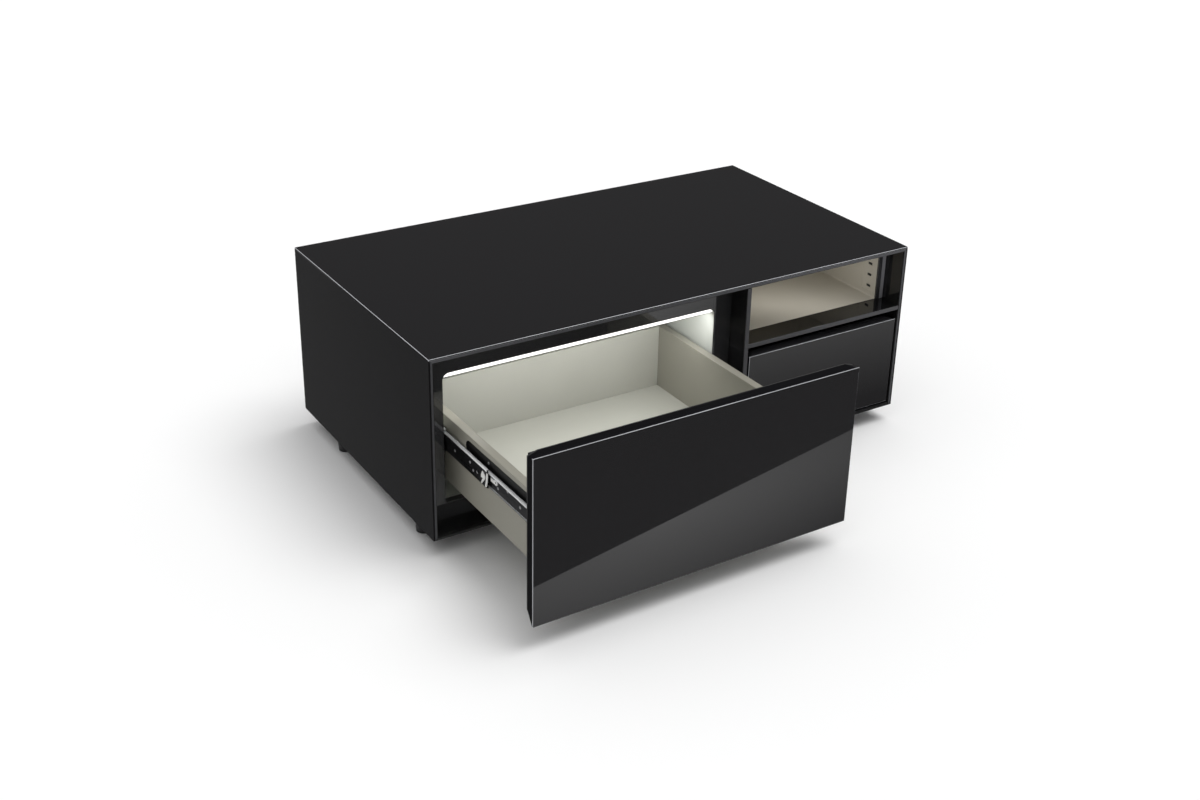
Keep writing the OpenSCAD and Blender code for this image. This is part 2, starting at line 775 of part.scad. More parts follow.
module fan_rotor() {
    y = [fan_y1 - fan_t + motor_t + 1, fan_y1 - 2];
    blade_len = fan_bore_r - hub_r - 1;
    color("#2d2e31") in_frame() difference() {
        union() {
            rod_y(fan_x, y, fan_z, hub_r);
            for (i = [0 : blade_count - 1]) translate([fan_x, (y[0] + y[1]) / 2, fan_z])
                rotate([0, i * 360 / blade_count, 0]) rotate([blade_tilt, 0, 0])
                    block([hub_r - 3, hub_r - 2 + blade_len - 1], [-0.8, 0.8], [-11, 11]);
        }
        rod_y(fan_x, [y[0] - eps, y[1] + eps], fan_z, fan_shaft_d / 2 + fan_fit);
    }
}
// Running clearance between the fan shaft and the rotor
fan_fit = 0.05;

// The drier hangs on the liquid pipe beside the compressor
drier_r = 10;
pipe_turn_x = evaporator_x[1] - 24;
compressor_top = base_z + grommet_h + compressor_plate + compressor_h;
drier_l = 60;
drier_drop = 18;
drier_z = [pipe_pass_z[1] - drier_drop - drier_l, pipe_pass_z[1] - drier_drop];
drier_x = fan_x;
pipe_line_y = (2 * condenser_y1 - condenser_d) / 2;

module filter_drier() {
    color("#b5713f") in_frame() rod_z(drier_x, pipe_line_y, drier_z, drier_r);
}

// A pipe through a list of points, with round elbows
module pipe(points) {
    for (i = [0 : len(points) - 2]) {
        a = points[i];
        d = points[i + 1] - a;
        l = norm(d);
        translate(a) rotate([0, acos(d[2] / l), atan2(d[1], d[0])]) cylinder(h = l, d = pipe_d);
    }
    for (i = [1 : len(points) - 2]) translate(points[i]) sphere(d = pipe_d + 1);
}

module refrigerant_pipes() {
    suction_z = pipe_pass_z[0];
    liquid_z = pipe_pass_z[1];
    evaporator_y = cavity_y1 + liner_t + channel_t;
    condenser_x0 = fan_x - condenser_w / 2;
    relay_x = compressor_x + compressor_d / 2 + relay_reach;
    riser_x = (condenser_x0 + relay_x) / 2;
    coil_z = base_z + 0.15 * condenser_h;
    color("#b87333") in_frame() {
        pipe([[pipe_turn_x, evaporator_y, suction_z], [pipe_turn_x, pipe_pass_y, suction_z],
              [compressor_x, pipe_pass_y, suction_z], [compressor_x, compressor_y, suction_z],
              [compressor_x, compressor_y, compressor_top]]);
        pipe([[pipe_turn_x, evaporator_y, liquid_z], [pipe_turn_x, pipe_pass_y, liquid_z],
              [drier_x, pipe_pass_y, liquid_z], [drier_x, pipe_line_y, liquid_z],
              [drier_x, pipe_line_y, drier_z[1]]]);
        pipe([[drier_x, pipe_line_y, drier_z[0]], [drier_x, pipe_line_y, base_z + condenser_h]]);
        pipe([[condenser_x0, pipe_line_y, coil_z], [riser_x, pipe_line_y, coil_z],
              [riser_x, compressor_y, coil_z + 40], [relay_x, compressor_y, coil_z + 40]]);
    }
}

board_w = 130;
board_h = 70;
board_d = 32;
board_in = 60;

module control_board() {
    x = [niche_bay_x1 - board_in - board_w, niche_bay_x1 - board_in];
    y = [machine_y0, machine_y0 + board_d];
    z = span(base_z + condenser_h, board_h / 2);
    color("#3f6f4a") in_frame() {
        block(x, [y[0], y[0] + 6], z);
        block([x[0] + 12, x[0] + 48], [y[0] + 6, y[1]], [z[0] + 12, z[0] + 46]);
        for (i = [0 : 2]) rod_y(x[1] - 20 - i * 22, [y[0] + 6, y[1] - 8], z[0] + 34, 8);
    }
}

// A flush appliance inlet with three blades, facing the back
blade_w = 4;
blade_t = 2;
inlet_wall = 2;
inlet_d = 24;

module power_inlet() {
    y = [table_d - inlet_d, table_d];
    xm = (inlet_x[0] + inlet_x[1]) / 2;
    zm = (inlet_z[0] + inlet_z[1]) / 2 - 4;
    color("#141416") in_frame() {
        difference() {
            block(inlet_x, y, inlet_z);
            block([inlet_x[0] + inlet_wall, inlet_x[1] - inlet_wall], [y[0] + 6, y[1] + eps],
                  [inlet_z[0] + inlet_wall, inlet_z[1] - inlet_wall]);
        }
        for (x = [-7, 0, 7])
            block(span(xm + x, blade_t / 2), [y[0] + 6, y[1] - 4], span(zm, blade_w / 2));
    }
}

slat_count = 11;
slat_t = 3;

module rear_grille() {
    y = [fan_y1, table_d];
    frame = 9;
    pitch = (grille_z[1] - grille_z[0] - 2 * frame) / slat_count;
    color("#2a2b2d") in_frame() union() {
        difference() {
            block(grille_x, y, grille_z);
            block([grille_x[0] + frame, grille_x[1] - frame], [y[0] - eps, y[1] + eps],
                  [grille_z[0] + frame, grille_z[1] - frame]);
        }
        for (i = [1 : slat_count]) {
            z = grille_z[0] + frame + i * pitch;
            block(inset(grille_x, frame), [table_d - 5, table_d], [z - slat_t, z]);
        }
    }
}

// One member of a slide on its left side: a channel of steel with its web at x and its lips towards +X
module channel(x, flange, h, y, z) {
    difference() {
        block([x, x + flange], y, span(z, h / 2));
        block([x + slide_steel, x + flange + eps], inset(y, -eps), span(z, h / 2 - slide_steel));
    }
}

// The fixed members, on the walls of the liner
module fridge_slide_outer() {
    color("#2b2c2e") in_frame() mirrored_at((cavity_x0 + cavity_x1) / 2) difference() {
        channel(cavity_x0, slide_t - 2, slide_h, [slide_y0, slide_y0 + slide_l], slide_z);
        for (y = slide_holes(slide_y0, slide_l)) rod_x([cavity_x0 - eps, cavity_x0 + 3], y, slide_z, 2.5);
    }
}
function slide_holes(y0, l) = [y0 + 35, y0 + l / 2, y0 + l - 35];

module fridge_slide_middle() {
    color("#343537") half_pulled() mirrored_at((cavity_x0 + cavity_x1) / 2) difference() {
        channel(cavity_x0 + middle_in, middle_flange, middle_h, [slide_y0 + 6, slide_y0 + slide_l], slide_z);
        for (y = slide_holes(slide_y0 + 10, slide_l))
            rod_x([cavity_x0 + middle_in - eps, cavity_x0 + middle_in + 3], y, slide_z, 5);
    }
}

// Ball cages along the top and bottom of the middle members, outside and inside
cage_l = 300;
module middle_ball_cages() {
    outer_gap = slide_h / 2 - slide_steel - middle_h / 2;
    inner_gap = middle_h / 2 - slide_steel - inner_h / 2;
    x0 = cavity_x0 + middle_in + slide_steel;
    y1 = slide_y0 + slide_l - 10;
    color("#9a9c9f") half_pulled() mirrored_at((cavity_x0 + cavity_x1) / 2)
        for (side = [-1, 1]) {
            z_out = slide_z + side * (middle_h / 2 + (outer_gap - clear) / 2);
            z_in = slide_z + side * (middle_h / 2 - slide_steel - (inner_gap - clear) / 2);
            block([x0, x0 + 3], [y1 - cage_l, y1], span(z_out, (outer_gap - clear) / 2));
            block([x0, x0 + 3.5], [slide_y0 + 30, slide_y0 + 30 + cage_l], span(z_in, (inner_gap - clear) / 2));
        }
}

// White stops clipped on the front ends of the middle members
stop_t = 1.2;
module slide_stops() {
    x = [cavity_x0 + middle_in - stop_t, cavity_x0 + middle_in];
    y0 = slide_y0 + 6;
    color("#e6e6e2") half_pulled() mirrored_at((cavity_x0 + cavity_x1) / 2) {
        // The hook behind the member's end
        block(x, [y0 + 4, y0 + 13], span(slide_z, 5));
        block(x, [y0 + 10, y0 + 20], [slide_z + 2, slide_z + 14]);
        block(x, [y0 + 10, y0 + 22], [slide_z - 17, slide_z - 4]);
        // The thin crescent that meets the inner member
        intersection() {
            difference() {
                rod_x(x, y0 - crescent_r, slide_z, crescent_r);
                rod_x(inset(x, -eps), y0 - crescent_r, slide_z, crescent_r - 2.5);
            }
            block(x, [y0 - 8, y0], span(slide_z, middle_h / 2 - 3));
        }
    }
}
crescent_r = 24;

// The inner members, screwed to the drawer walls with their lips away from them, and the lever pivots
inner_y = [box_y0 + clear, box_y0 + slide_l];
pivot_d = 3;
module fridge_slide_inner() {
    color("#303134") pulled() mirrored_at((cavity_x0 + cavity_x1) / 2) {
        difference() {
            block([box_x0 - inner_flange, box_x0], inner_y, span(slide_z, inner_h / 2));
            block([box_x0 - inner_flange - eps, box_x0 - slide_steel], inset(inner_y, -eps),
                  span(slide_z, inner_h / 2 - slide_steel));
            for (y = slide_holes(box_y0, slide_l)) rod_x([box_x0 - 3, box_x0 + eps], y, slide_z, 2.5);
        }
        rod_x([box_x0 - slide_steel - 3, box_x0 - slide_steel], lever_y, lever_z, pivot_d / 2);
    }
}

module slide_screws() {
    color("#a9abae") pulled() mirrored_at((cavity_x0 + cavity_x1) / 2)
        for (y = slide_holes(box_y0, slide_l)) {
            rod_x([box_x0 - slide_steel, box_x0], y, slide_z, 2.5);
            rod_x([box_x0 - slide_steel - 1.4, box_x0 - slide_steel], y, slide_z, 4);
        }
}

// A release lever in the channel of the inner member, on its pivot
lever_l = 21;
lever_t = 2.4;
lever_r = 6.5;
module release_lever() {
    x = [box_x0 - slide_steel - clear - lever_t, box_x0 - slide_steel - clear];
    difference() {
        union() {
            rod_x(x, lever_y, lever_z, lever_r);
            block(x, [lever_y, lever_y + lever_l], [lever_z - 6, lever_z + 2]);
        }
        rod_x(inset(x, -eps), lever_y, lever_z, pivot_d / 2 + 0.05);
    }
}

module release_lever_left() {
    color("#ececea") pulled() release_lever();
}

module release_lever_right() {
    color("#ececea") pulled() translate([cavity_x0 + cavity_x1, 0, 0]) mirror([1, 0, 0]) release_lever();
}

// A drawer front's glass
module front_glass(x, z) {
    w = x[1] - x[0];
    h = z[1] - z[0];
    translate([x[0], 0, z[0]]) intersection() {
        linear_extrude(h)
            polygon([[arris, 0], [w - arris, 0], [w, arris], [w, glass_t], [0, glass_t], [0, arris]]);
        rotate([90, 0, 90]) linear_extrude(w)
            polygon([[0, arris], [arris, 0], [glass_t, 0], [glass_t, h], [arris, h], [0, h - arris]]);
    }
}

// What stands behind the glass: an underside that slants up and a grip lip that falls away at its ends
module front_body(x, z, y) {
    w = x[1] - x[0];
    h = z[1] - z[0];
    d = front_t - cover_t - glass_t;
    intersection() {
        translate([x[0], 0, z[0]]) rotate([90, 0, 90]) linear_extrude(w)
            polygon([[glass_t, 2], [glass_t + d, slant], [front_t, slant + 3], [front_t, h + lip_up - 1],
                     [glass_t + d, h + lip_up], [glass_t, h - 1]]);
        translate([x[0], y[1], z[0]]) rotate([90, 0, 0]) linear_extrude(y[1] - y[0])
            polygon([[0, 0], [w, 0], [w, h - 3], [w - lip_run, h + lip_up], [lip_run, h + lip_up], [0, h - 3]]);
    }
}

module front_frame(x, z) {
    front_body(x, z, [glass_t, front_t - cover_t]);
}

module front_cover(x, z) {
    front_body(x, z, [front_t - cover_t, front_t]);
}

// Window in the frame of the fridge drawer's front, and the outline of its insulated block
frame_window_x = inset(fridge_x, frame_rail);
frame_window_z = [fridge_z[0] + slant + 12, fridge_z[1] - frame_rail];
tray_x = inset(fridge_x, block_side);
tray_z = [cavity_z0 - gasket_w - 2, fridge_z[1] - block_top];
// Where its underside leaves the back of the front
tray_front_z = fridge_z[0] + slant + 4;
tray_wall = 3;

// The insulated block, deepening towards the gasket under the opening; a wall thins it on all sides but the front
module insulated_block(x, wall) {
    translate([x[0] + wall, 0, 0]) rotate([90, 0, 90]) linear_extrude(x[1] - x[0] - 2 * wall)
        polygon([[front_t, tray_front_z + wall], [box_y0 - wall, tray_z[0] + wall],
                 [box_y0 - wall, tray_z[1] - wall], [front_t, tray_z[1] - wall]]);
}

module fridge_front_glass() {
    color("#262627") pulled() front_glass(fridge_x, fridge_z);
}

module fridge_front_frame() {
    color("#4a4a4d") pulled() difference() {
        front_frame(fridge_x, fridge_z);
        block(frame_window_x, [glass_t - eps, front_t + eps], frame_window_z);
    }
}

module fridge_front_cover() {
    color("#161618") pulled() difference() {
        front_cover(fridge_x, fridge_z);
        block(frame_window_x, [glass_t - eps, front_t + eps], frame_window_z);
    }
}

module fridge_front_core() {
    color("#e2d9a8") pulled() union() {
        block(frame_window_x, [glass_t, front_t + eps], frame_window_z);
        insulated_block(tray_x, tray_wall);
    }
}

module fridge_front_tray() {
    color("#c9c9c0") pulled() difference() {
        insulated_block(tray_x, 0);
        insulated_block(tray_x, tray_wall);
    }
}

// The magnetic gasket: a foot, a thin bellows and the band that meets the face plate
module fridge_gasket() {
    y = [box_y0, recess - clear];
    waist = 4;
    color("#131315") pulled() difference() {
        block(tray_x, y, tray_z);
        block(inset(tray_x, gasket_w), inset(y, -eps), inset(tray_z, gasket_w));
        difference() {
            block(inset(tray_x, -eps), [y[0] + 2.5, y[1] - 3.5], inset(tray_z, -eps));
            block(inset(tray_x, waist), y, inset(tray_z, waist));
        }
    }
}

// The formed side walls of the fridge drawer: hollow, with a broad rim and a long slot
module fridge_box_sides() {
    color("#8f8d80") pulled() mirrored_at((cavity_x0 + cavity_x1) / 2) difference() {
        block([box_x0, box_x0 + box_wall], [box_y0, box_y1], [box_z0, box_z1]);
        block([box_x0 + box_sheet, box_x0 + box_wall - box_sheet], [box_y0 - eps, box_y1 - box_sheet],
              [box_z0 + box_sheet, box_z1 - box_sheet]);
        slot_cut([box_x0 - eps, box_x0 + box_sheet + eps]);
    }
}

module slot_cut(x) {
    block(x, [box_y0 - eps, box_y0 + slot_l], [slot_z0, slot_z1]);
    rod_x(x, box_y0 + slot_l, (slot_z0 + slot_z1) / 2, slot_h / 2);
}

// Black channels that close the slots from inside the walls
insert_t = 1.5;
insert_d = 7;
module wall_slot_inserts() {
    x0 = box_x0 + box_sheet;
    color("#151517") pulled() mirrored_at((cavity_x0 + cavity_x1) / 2) difference() {
        block([x0, x0 + insert_d], [box_y0, box_y0 + slot_l + slot_h / 2 + 4],
              [slot_z0 - 4, min(slot_z1 + 4, box_z1 - box_sheet)]);
        slot_cut([x0 - eps, x0 + insert_d - insert_t]);
    }
}

back_wall_t = 6;
module fridge_box_back() {
    x = [box_x0 + box_wall, box_x1 - box_wall];
    y = [box_y1 - back_wall_t, box_y1];
    color("#b4b2a6") pulled() difference() {
        block(x, y, [box_z0 + box_sheet, box_z1]);
        block([x[0] - eps, x[1] + eps], [y[0] + box_sheet, y[1] - box_sheet],
              [box_z0 + box_sheet - eps, box_z1 - box_sheet]);
    }
}

module fridge_box_floor() {
    color("#a9a89c") pulled()
        block([box_x0 + box_wall, box_x1 - box_wall], [box_y0, box_y1], [box_z0, box_z0 + box_sheet]);
}

// Two-member slides of the small drawer
small_slide_y = [recess + 6, partition_y - 28];
small_inner_y = [recess + 6, front_t + small_box_d - 4];

module small_slides_outer() {
    color("#a0a2a5") in_frame() mirrored_at((niche_bay_x0 + niche_bay_x1) / 2)
        channel(niche_bay_x0, slide_t - 2, small_slide_h, small_slide_y, small_slide_z);
}

module small_slides_inner() {
    x = [niche_bay_x0 + slide_steel + clear, small_box_x[0]];
    half = small_slide_h / 2 - slide_steel - clear;
    color("#b4b6b9") in_frame() mirrored_at((niche_bay_x0 + niche_bay_x1) / 2) difference() {
        block(x, small_inner_y, span(small_slide_z, half));
        block([x[0] - eps, x[1] - slide_steel], inset(small_inner_y, -eps),
              span(small_slide_z, half - slide_steel));
    }
}

module small_front_glass() {
    color("#262627") in_frame() front_glass(small_x, small_z);
}

module small_front_frame() {
    color("#4a4a4d") in_frame() front_frame(small_x, small_z);
}

module small_front_cover() {
    color("#161618") in_frame() front_cover(small_x, small_z);
}

// An open box of thin boards, screwed to the back of its front
module small_drawer_box() {
    y = [front_t, front_t + small_box_d];
    z = [small_box_z0, small_box_z1];
    color("#3b3a3c") in_frame() difference() {
        block(small_box_x, y, z);
        block(inset(small_box_x, small_board), inset(y, small_board), [z[0] + small_bottom_t, z[1] + eps]);
    }
}

top_glass();
top_board();
left_side_glass();
right_side_glass();
side_boards();
centre_divider();
base_board();
back_panel();
shelf_board();
outer_edge_trims();
inner_edge_trims();
fridge_face_plate();
fridge_liner();
liner_lip();
insulation_foam();
led_housing();
led_diffuser();
evaporator_plate();
niche_face_plate();
niche_liner();
socket_plate();
usb_sockets();
machine_partition();
feet();
foot_studs();
compressor();
compressor_grommets();
condenser_coil();
fan_frame();
fan_rotor();
filter_drier();
refrigerant_pipes();
control_board();
power_inlet();
rear_grille();
panel_screws();
fridge_slide_outer();
fridge_slide_middle();
middle_ball_cages();
slide_stops();
fridge_slide_inner();
slide_screws();
release_lever_left();
release_lever_right();
fridge_front_glass();
fridge_front_frame();
fridge_front_cover();
fridge_front_core();
fridge_front_tray();
fridge_gasket();
fridge_box_sides();
fridge_box_back();
fridge_box_floor();
wall_slot_inserts();
small_slides_outer();
small_slides_inner();
small_front_glass();
small_front_frame();
small_front_cover();
small_drawer_box();
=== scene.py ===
# %% [markdown]
# # A coffee table with a refrigerated drawer
# The imported model is the frame that everything here is built on. Loading it gives one object per
# part of the table, in metres, with the floor at Z = 0 and the front looking along -Y. Nothing in
# it is moved.

# %% Load the imported model
import json
import math

import bmesh
import bpy
from mathutils import Matrix, Vector


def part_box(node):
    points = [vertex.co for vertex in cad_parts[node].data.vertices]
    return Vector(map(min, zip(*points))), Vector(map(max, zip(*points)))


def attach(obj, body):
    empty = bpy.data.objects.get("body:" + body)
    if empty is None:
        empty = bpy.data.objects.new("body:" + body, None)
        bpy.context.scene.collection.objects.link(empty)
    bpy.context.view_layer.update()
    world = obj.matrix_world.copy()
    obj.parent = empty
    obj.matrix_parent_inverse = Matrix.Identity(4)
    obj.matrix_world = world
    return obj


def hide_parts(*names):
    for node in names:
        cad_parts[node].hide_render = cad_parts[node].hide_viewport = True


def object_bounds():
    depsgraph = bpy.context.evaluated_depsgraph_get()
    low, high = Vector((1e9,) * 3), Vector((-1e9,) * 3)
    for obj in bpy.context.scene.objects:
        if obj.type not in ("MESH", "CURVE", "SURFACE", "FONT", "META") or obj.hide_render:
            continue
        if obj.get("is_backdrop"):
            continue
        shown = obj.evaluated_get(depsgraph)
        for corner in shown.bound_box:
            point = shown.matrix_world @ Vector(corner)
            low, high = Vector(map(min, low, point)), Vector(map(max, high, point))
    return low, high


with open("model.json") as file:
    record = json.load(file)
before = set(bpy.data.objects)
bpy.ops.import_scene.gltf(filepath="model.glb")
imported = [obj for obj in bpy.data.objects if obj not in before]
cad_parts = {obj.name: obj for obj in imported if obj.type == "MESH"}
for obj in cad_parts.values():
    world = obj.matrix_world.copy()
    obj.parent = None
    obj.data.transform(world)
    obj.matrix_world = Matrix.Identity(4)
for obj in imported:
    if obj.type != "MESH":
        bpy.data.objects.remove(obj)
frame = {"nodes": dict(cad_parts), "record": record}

nodes = frame["nodes"]
record = frame["record"]
scene = bpy.context.scene
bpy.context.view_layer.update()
body_of = {node: body for body, names in record["behaviour"]["bodies"].items() for node in names}

# %% [markdown]
# ## The camera
# The photograph looks down on the front left corner. The heading, the tilt and the slight roll
# were worked out from the table's straight edges, and so was the focal length, which is written in
# pixels of the photograph. A small shift keeps the table in the middle.

# %% Camera
IMAGE_W, IMAGE_H = 1200, 800
SENSOR_MM = 36.0
FOCAL_PX = 1530.9
OPTICAL_X, OPTICAL_Y = 604.7, 340.0
CAMERA_AT = Vector((-1.8625, -2.7105, 1.8210))
FORWARD = Vector((0.490538, 0.764028, -0.419086))
RIGHT = Vector((0.846413, -0.532128, 0.020608))

camera_data = bpy.data.cameras.new("camera")
camera_data.sensor_width = SENSOR_MM
camera_data.lens = FOCAL_PX * SENSOR_MM / IMAGE_W
camera_data.shift_x = (IMAGE_W / 2 - OPTICAL_X) / IMAGE_W
camera_data.shift_y = (OPTICAL_Y - IMAGE_H / 2) / IMAGE_W
camera = bpy.data.objects.new("camera", camera_data)
up = RIGHT.cross(FORWARD)
turn = Matrix((RIGHT, up, -FORWARD)).transposed()
camera.matrix_world = Matrix.Translation(CAMERA_AT) @ turn.to_4x4()
scene.collection.objects.link(camera)
scene.camera = camera
print("lens", round(camera_data.lens, 1), "mm, shift", round(camera_data.shift_y, 3))

# %% [markdown]
# ## Building materials from nodes
# Every finish here starts as one Principled shader. A small helper makes it with its plain values
# set straight on its sockets, and a few more add what real surfaces have: a colour that varies, a
# gloss that varies and a fine unevenness. All of them read Object coordinates, so a pattern stays
# where it is when a drawer moves. A noise stays between 0.3 and 0.7 nearly everywhere, so that is
# the stretch that the helpers spread over the wanted values.

# %% Helpers for nodes
NOISE_LOW, NOISE_HIGH = 0.3, 0.7


def new_finish(name, colour, roughness, **values):
    """A material with one Principled shader, its plain values set on its sockets."""
    material = bpy.data.materials.new(name)
    material.use_nodes = True
    material.diffuse_color = (*colour, 1)
    shader = shader_of(material)
    shader.inputs["Base Color"].default_value = (*colour, 1)
    shader.inputs["Roughness"].default_value = roughness
    for socket, value in values.items():
        shader.inputs[socket.replace("_", " ")].default_value = value
    return material


def shader_of(material):
    return material.node_tree.nodes["Principled BSDF"]


def pattern(material, scale, detail=3.0, stretch=(1, 1, 1)):
    """A noise in Object coordinates, finer along the axes with the larger stretch."""
    tree = material.node_tree
    coordinates = tree.nodes.new("ShaderNodeTexCoord")
    mapping = tree.nodes.new("ShaderNodeMapping")
    mapping.inputs["Scale"].default_value = stretch
    noise = tree.nodes.new("ShaderNodeTexNoise")
    noise.inputs["Scale"].default_value = scale
    noise.inputs["Detail"].default_value = detail
    tree.links.new(coordinates.outputs["Object"], mapping.inputs["Vector"])
    tree.links.new(mapping.outputs["Vector"], noise.inputs["Vector"])
    return noise.outputs["Fac"]


def colour_ramp(tree, stops):
    """A ramp with a colour at each of its positions."""
    ramp = tree.nodes.new("ShaderNodeValToRGB")
    elements = ramp.color_ramp.elements
    for position, _ in stops[1:-1]:
        elements.new(position)
    for element, (position, colour) in zip(elements, stops):
        element.position = position
        element.color = (*colour, 1)
    return ramp


def grey(shade):
    return (shade, shade, shade)


def shaded(colour, factor):
    """A colour made darker or lighter, but never lighter than white."""
    return [min(1.0, value * factor) for value in colour]


def vary_roughness(material, fac, low, high):
    tree = material.node_tree
    spread = tree.nodes.new("ShaderNodeMapRange")
    spread.inputs["From Min"].default_value = NOISE_LOW
    spread.inputs["From Max"].default_value = NOISE_HIGH
    spread.inputs["To Min"].default_value = low
    spread.inputs["To Max"].default_value = high
    tree.links.new(fac, spread.inputs["Value"])
    tree.links.new(spread.outputs["Result"], shader_of(material).inputs["Roughness"])


def vary_colour(material, fac, one, other):
    tree = material.node_tree
    mix = colour_ramp(tree, [(NOISE_LOW, one), (NOISE_HIGH, other)])
    tree.links.new(fac, mix.inputs["Fac"])
    tree.links.new(mix.outputs["Color"], shader_of(material).inputs["Base Color"])


def roughen(material, fac, depth, strength=0.4):
    """Raises and lowers the surface by about depth, in metres."""
    tree = material.node_tree
    bump = tree.nodes.new("ShaderNodeBump")
    bump.inputs["Distance"].default_value = depth
    bump.inputs["Strength"].default_value = strength
    tree.links.new(fac, bump.inputs["Height"])
    tree.links.new(bump.outputs["Normal"], shader_of(material).inputs["Normal"])


# %% [markdown]
# ## Four kinds of finish
# The table is made of polished glass, brushed metal, moulded plastic and powder-painted steel. Each
# kind has its own recipe, so that one line is enough for each finish. Glass only drifts in its
# gloss. Brushed metal has a noise drawn out into lines along one axis. A moulding has a peel of
# less than a millimetre, and its colour drifts over the piece. Powder paint peels more coarsely.

# %% Helpers for finishes
GLOSS_DRIFT = 9.0
COLOUR_DRIFT = 5.0
LINES_ACROSS, LINES_ALONG = 900.0, 12.0


def polished(name, colour, roughness, gloss_range, **values):
    """Glass that is painted behind, with a gloss that drifts over a hand's width."""
    material = new_finish(name, colour, roughness, **values)
    vary_roughness(material, pattern(material, GLOSS_DRIFT), *gloss_range)
    return material


def brushed(name, colour, roughness, along, metallic=1.0, **values):
    """Metal with fine lines that run along one axis."""
    material = new_finish(name, colour, roughness, Metallic=metallic, **values)
    stretch = [LINES_ALONG if axis == along else LINES_ACROSS for axis in "xyz"]
    lines = pattern(material, 1.0, detail=2.0, stretch=stretch)
    vary_roughness(material, lines, roughness * 0.75, roughness * 1.3)
    vary_colour(material, lines, shaded(colour, 0.86), shaded(colour, 1.14))
    roughen(material, lines, depth=0.00002, strength=0.35)
    return material


def moulded(name, colour, roughness, grain=1400.0, depth=0.00003, shade=0.04, **values):
    """Moulded plastic: a fine orange peel, and a colour that drifts a little over the piece."""
    material = new_finish(name, colour, roughness, **values)
    drift = pattern(material, COLOUR_DRIFT)
    vary_colour(material, drift, shaded(colour, 1 - shade), shaded(colour, 1 + shade))
    peel = pattern(material, grain, detail=1.0)
    vary_roughness(material, peel, roughness * 0.9, roughness * 1.12)
    roughen(material, peel, depth)
    return material


def enamelled(name, colour, roughness, **values):
    """Powder paint on steel: a soft, slightly coarser peel."""
    return moulded(name, colour, roughness, grain=900.0, depth=0.00004, shade=0.03, **values)


# %% [markdown]
# ## Glass and gloss
# The top, the sides and the drawer fronts are glass that is painted black behind, so nothing shows
# through, and a dark shader with a clear gloss does for it. The fronts mirror most, and the sides
# hardly at all, so the specular level is set for each. The ground edges are another finish, pale
# and matt: partly the bare frosted glass that grinding leaves, partly a painted highlight.

# %% Finishes of glass
BLACK = (0.0065, 0.006, 0.007)
SIDE_BLACK = (0.009, 0.0088, 0.0095)
WIDE_PEEL = 60.0
top_black = polished("polished_top_glass", BLACK, 0.04, gloss_range=(0.03, 0.06),
                     Specular_IOR_Level=0.2)
side_black = polished("polished_side_glass", SIDE_BLACK, 0.04, gloss_range=(0.03, 0.06),
                      Specular_IOR_Level=0.05)
front_black = polished("front_black_glass", BLACK, 0.03, gloss_range=(0.015, 0.035),
                       Specular_IOR_Level=0.9)
ground_edge_and_highlight = moulded("frosted_edge_and_painted_highlight", (0.56, 0.57, 0.60), 0.38, grain=2500.0, depth=0.00002)
plate_black = moulded("glossy_face_plate", (0.036, 0.036, 0.038), 0.05, grain=WIDE_PEEL,
                      depth=0.00001, IOR=2.0)
shelf_black = moulded("glossy_shelf", (0.006, 0.006, 0.0065), 0.05, grain=WIDE_PEEL,
                      depth=0.00001, IOR=1.6)
board_black = moulded("gloss_lacquered_board", (0.009, 0.009, 0.0095), 0.12, grain=WIDE_PEEL,
                      depth=0.00002)
print("panes:", [finish.name for finish in (top_black, side_black, front_black)])

# %% [markdown]
# ## Metals, plastics and paint
# Anodised strips and slides are brushed along their length. The liners are moulded plastic with a
# fine peel, and the drawer is powder-painted steel, a little coarser. Most colours are the
# surface's own, but some carry painted light or painted shade, as said where they are made.

# %% Other finishes
edge_grey = brushed("anodised_edge_strip", (0.066, 0.066, 0.071), 0.34, "x", metallic=0.0,
                    Specular_IOR_Level=0.3)
# The corner strip is the strips' grey painted paler: painted light.
corner_strip_paler = moulded("corner_strip_painted_light", (0.24, 0.24, 0.255), 0.35)
# The upper strip's grey is the uprights' grey painted paler: painted light.
top_run_painted_paler = brushed("top_run_painted_light_grey", (0.088, 0.088, 0.094), 0.34, "x", metallic=0.0,
                       Specular_IOR_Level=0.1)
back_steel = enamelled("painted_back_panel", (0.03, 0.03, 0.032), 0.45)
liner_beige = moulded("moulded_liner", (0.61, 0.63, 0.585), 0.42)
niche_beige = moulded("moulded_niche", (0.52, 0.49, 0.42), 0.42)
lip_white = moulded("white_edging", (0.50, 0.50, 0.47), 0.3)
foam = moulded("insulation_foam", (0.72, 0.62, 0.36), 0.8, grain=400.0, depth=0.0003, shade=0.12)
led_body = moulded("light_strip_body", (0.06, 0.06, 0.058), 0.5)
tray_grey = moulded("moulded_door_block", (0.022, 0.022, 0.023), 0.4)
led_lens = new_finish("lit_diffuser", (0.9, 0.9, 0.9), 0.4,
                      Emission_Color=(1, 0.985, 0.95, 1), Emission_Strength=1.25)
socket_metal = brushed("socket_shell", (0.30, 0.30, 0.31), 0.3, "x")
aluminium = brushed("rolled_aluminium", (0.62, 0.63, 0.64), 0.32, "x")
# Zinc for screws, studs and cages, and also the painted highlight on the slides' upper faces.
zinc_finish_and_highlight = brushed("bright_zinc_painted_highlight", (0.86, 0.87, 0.88), 0.42, "y", metallic=0.35)
slide_dark = brushed("black_zinc_slide", (0.035, 0.035, 0.038), 0.32, "y", metallic=0.85)
stop_white = moulded("white_nylon", (0.74, 0.74, 0.72), 0.38)
frame_grey = brushed("anodised_front_frame", (0.004, 0.004, 0.005), 0.3, "x", metallic=0.0,
                     Specular_IOR_Level=0.02)
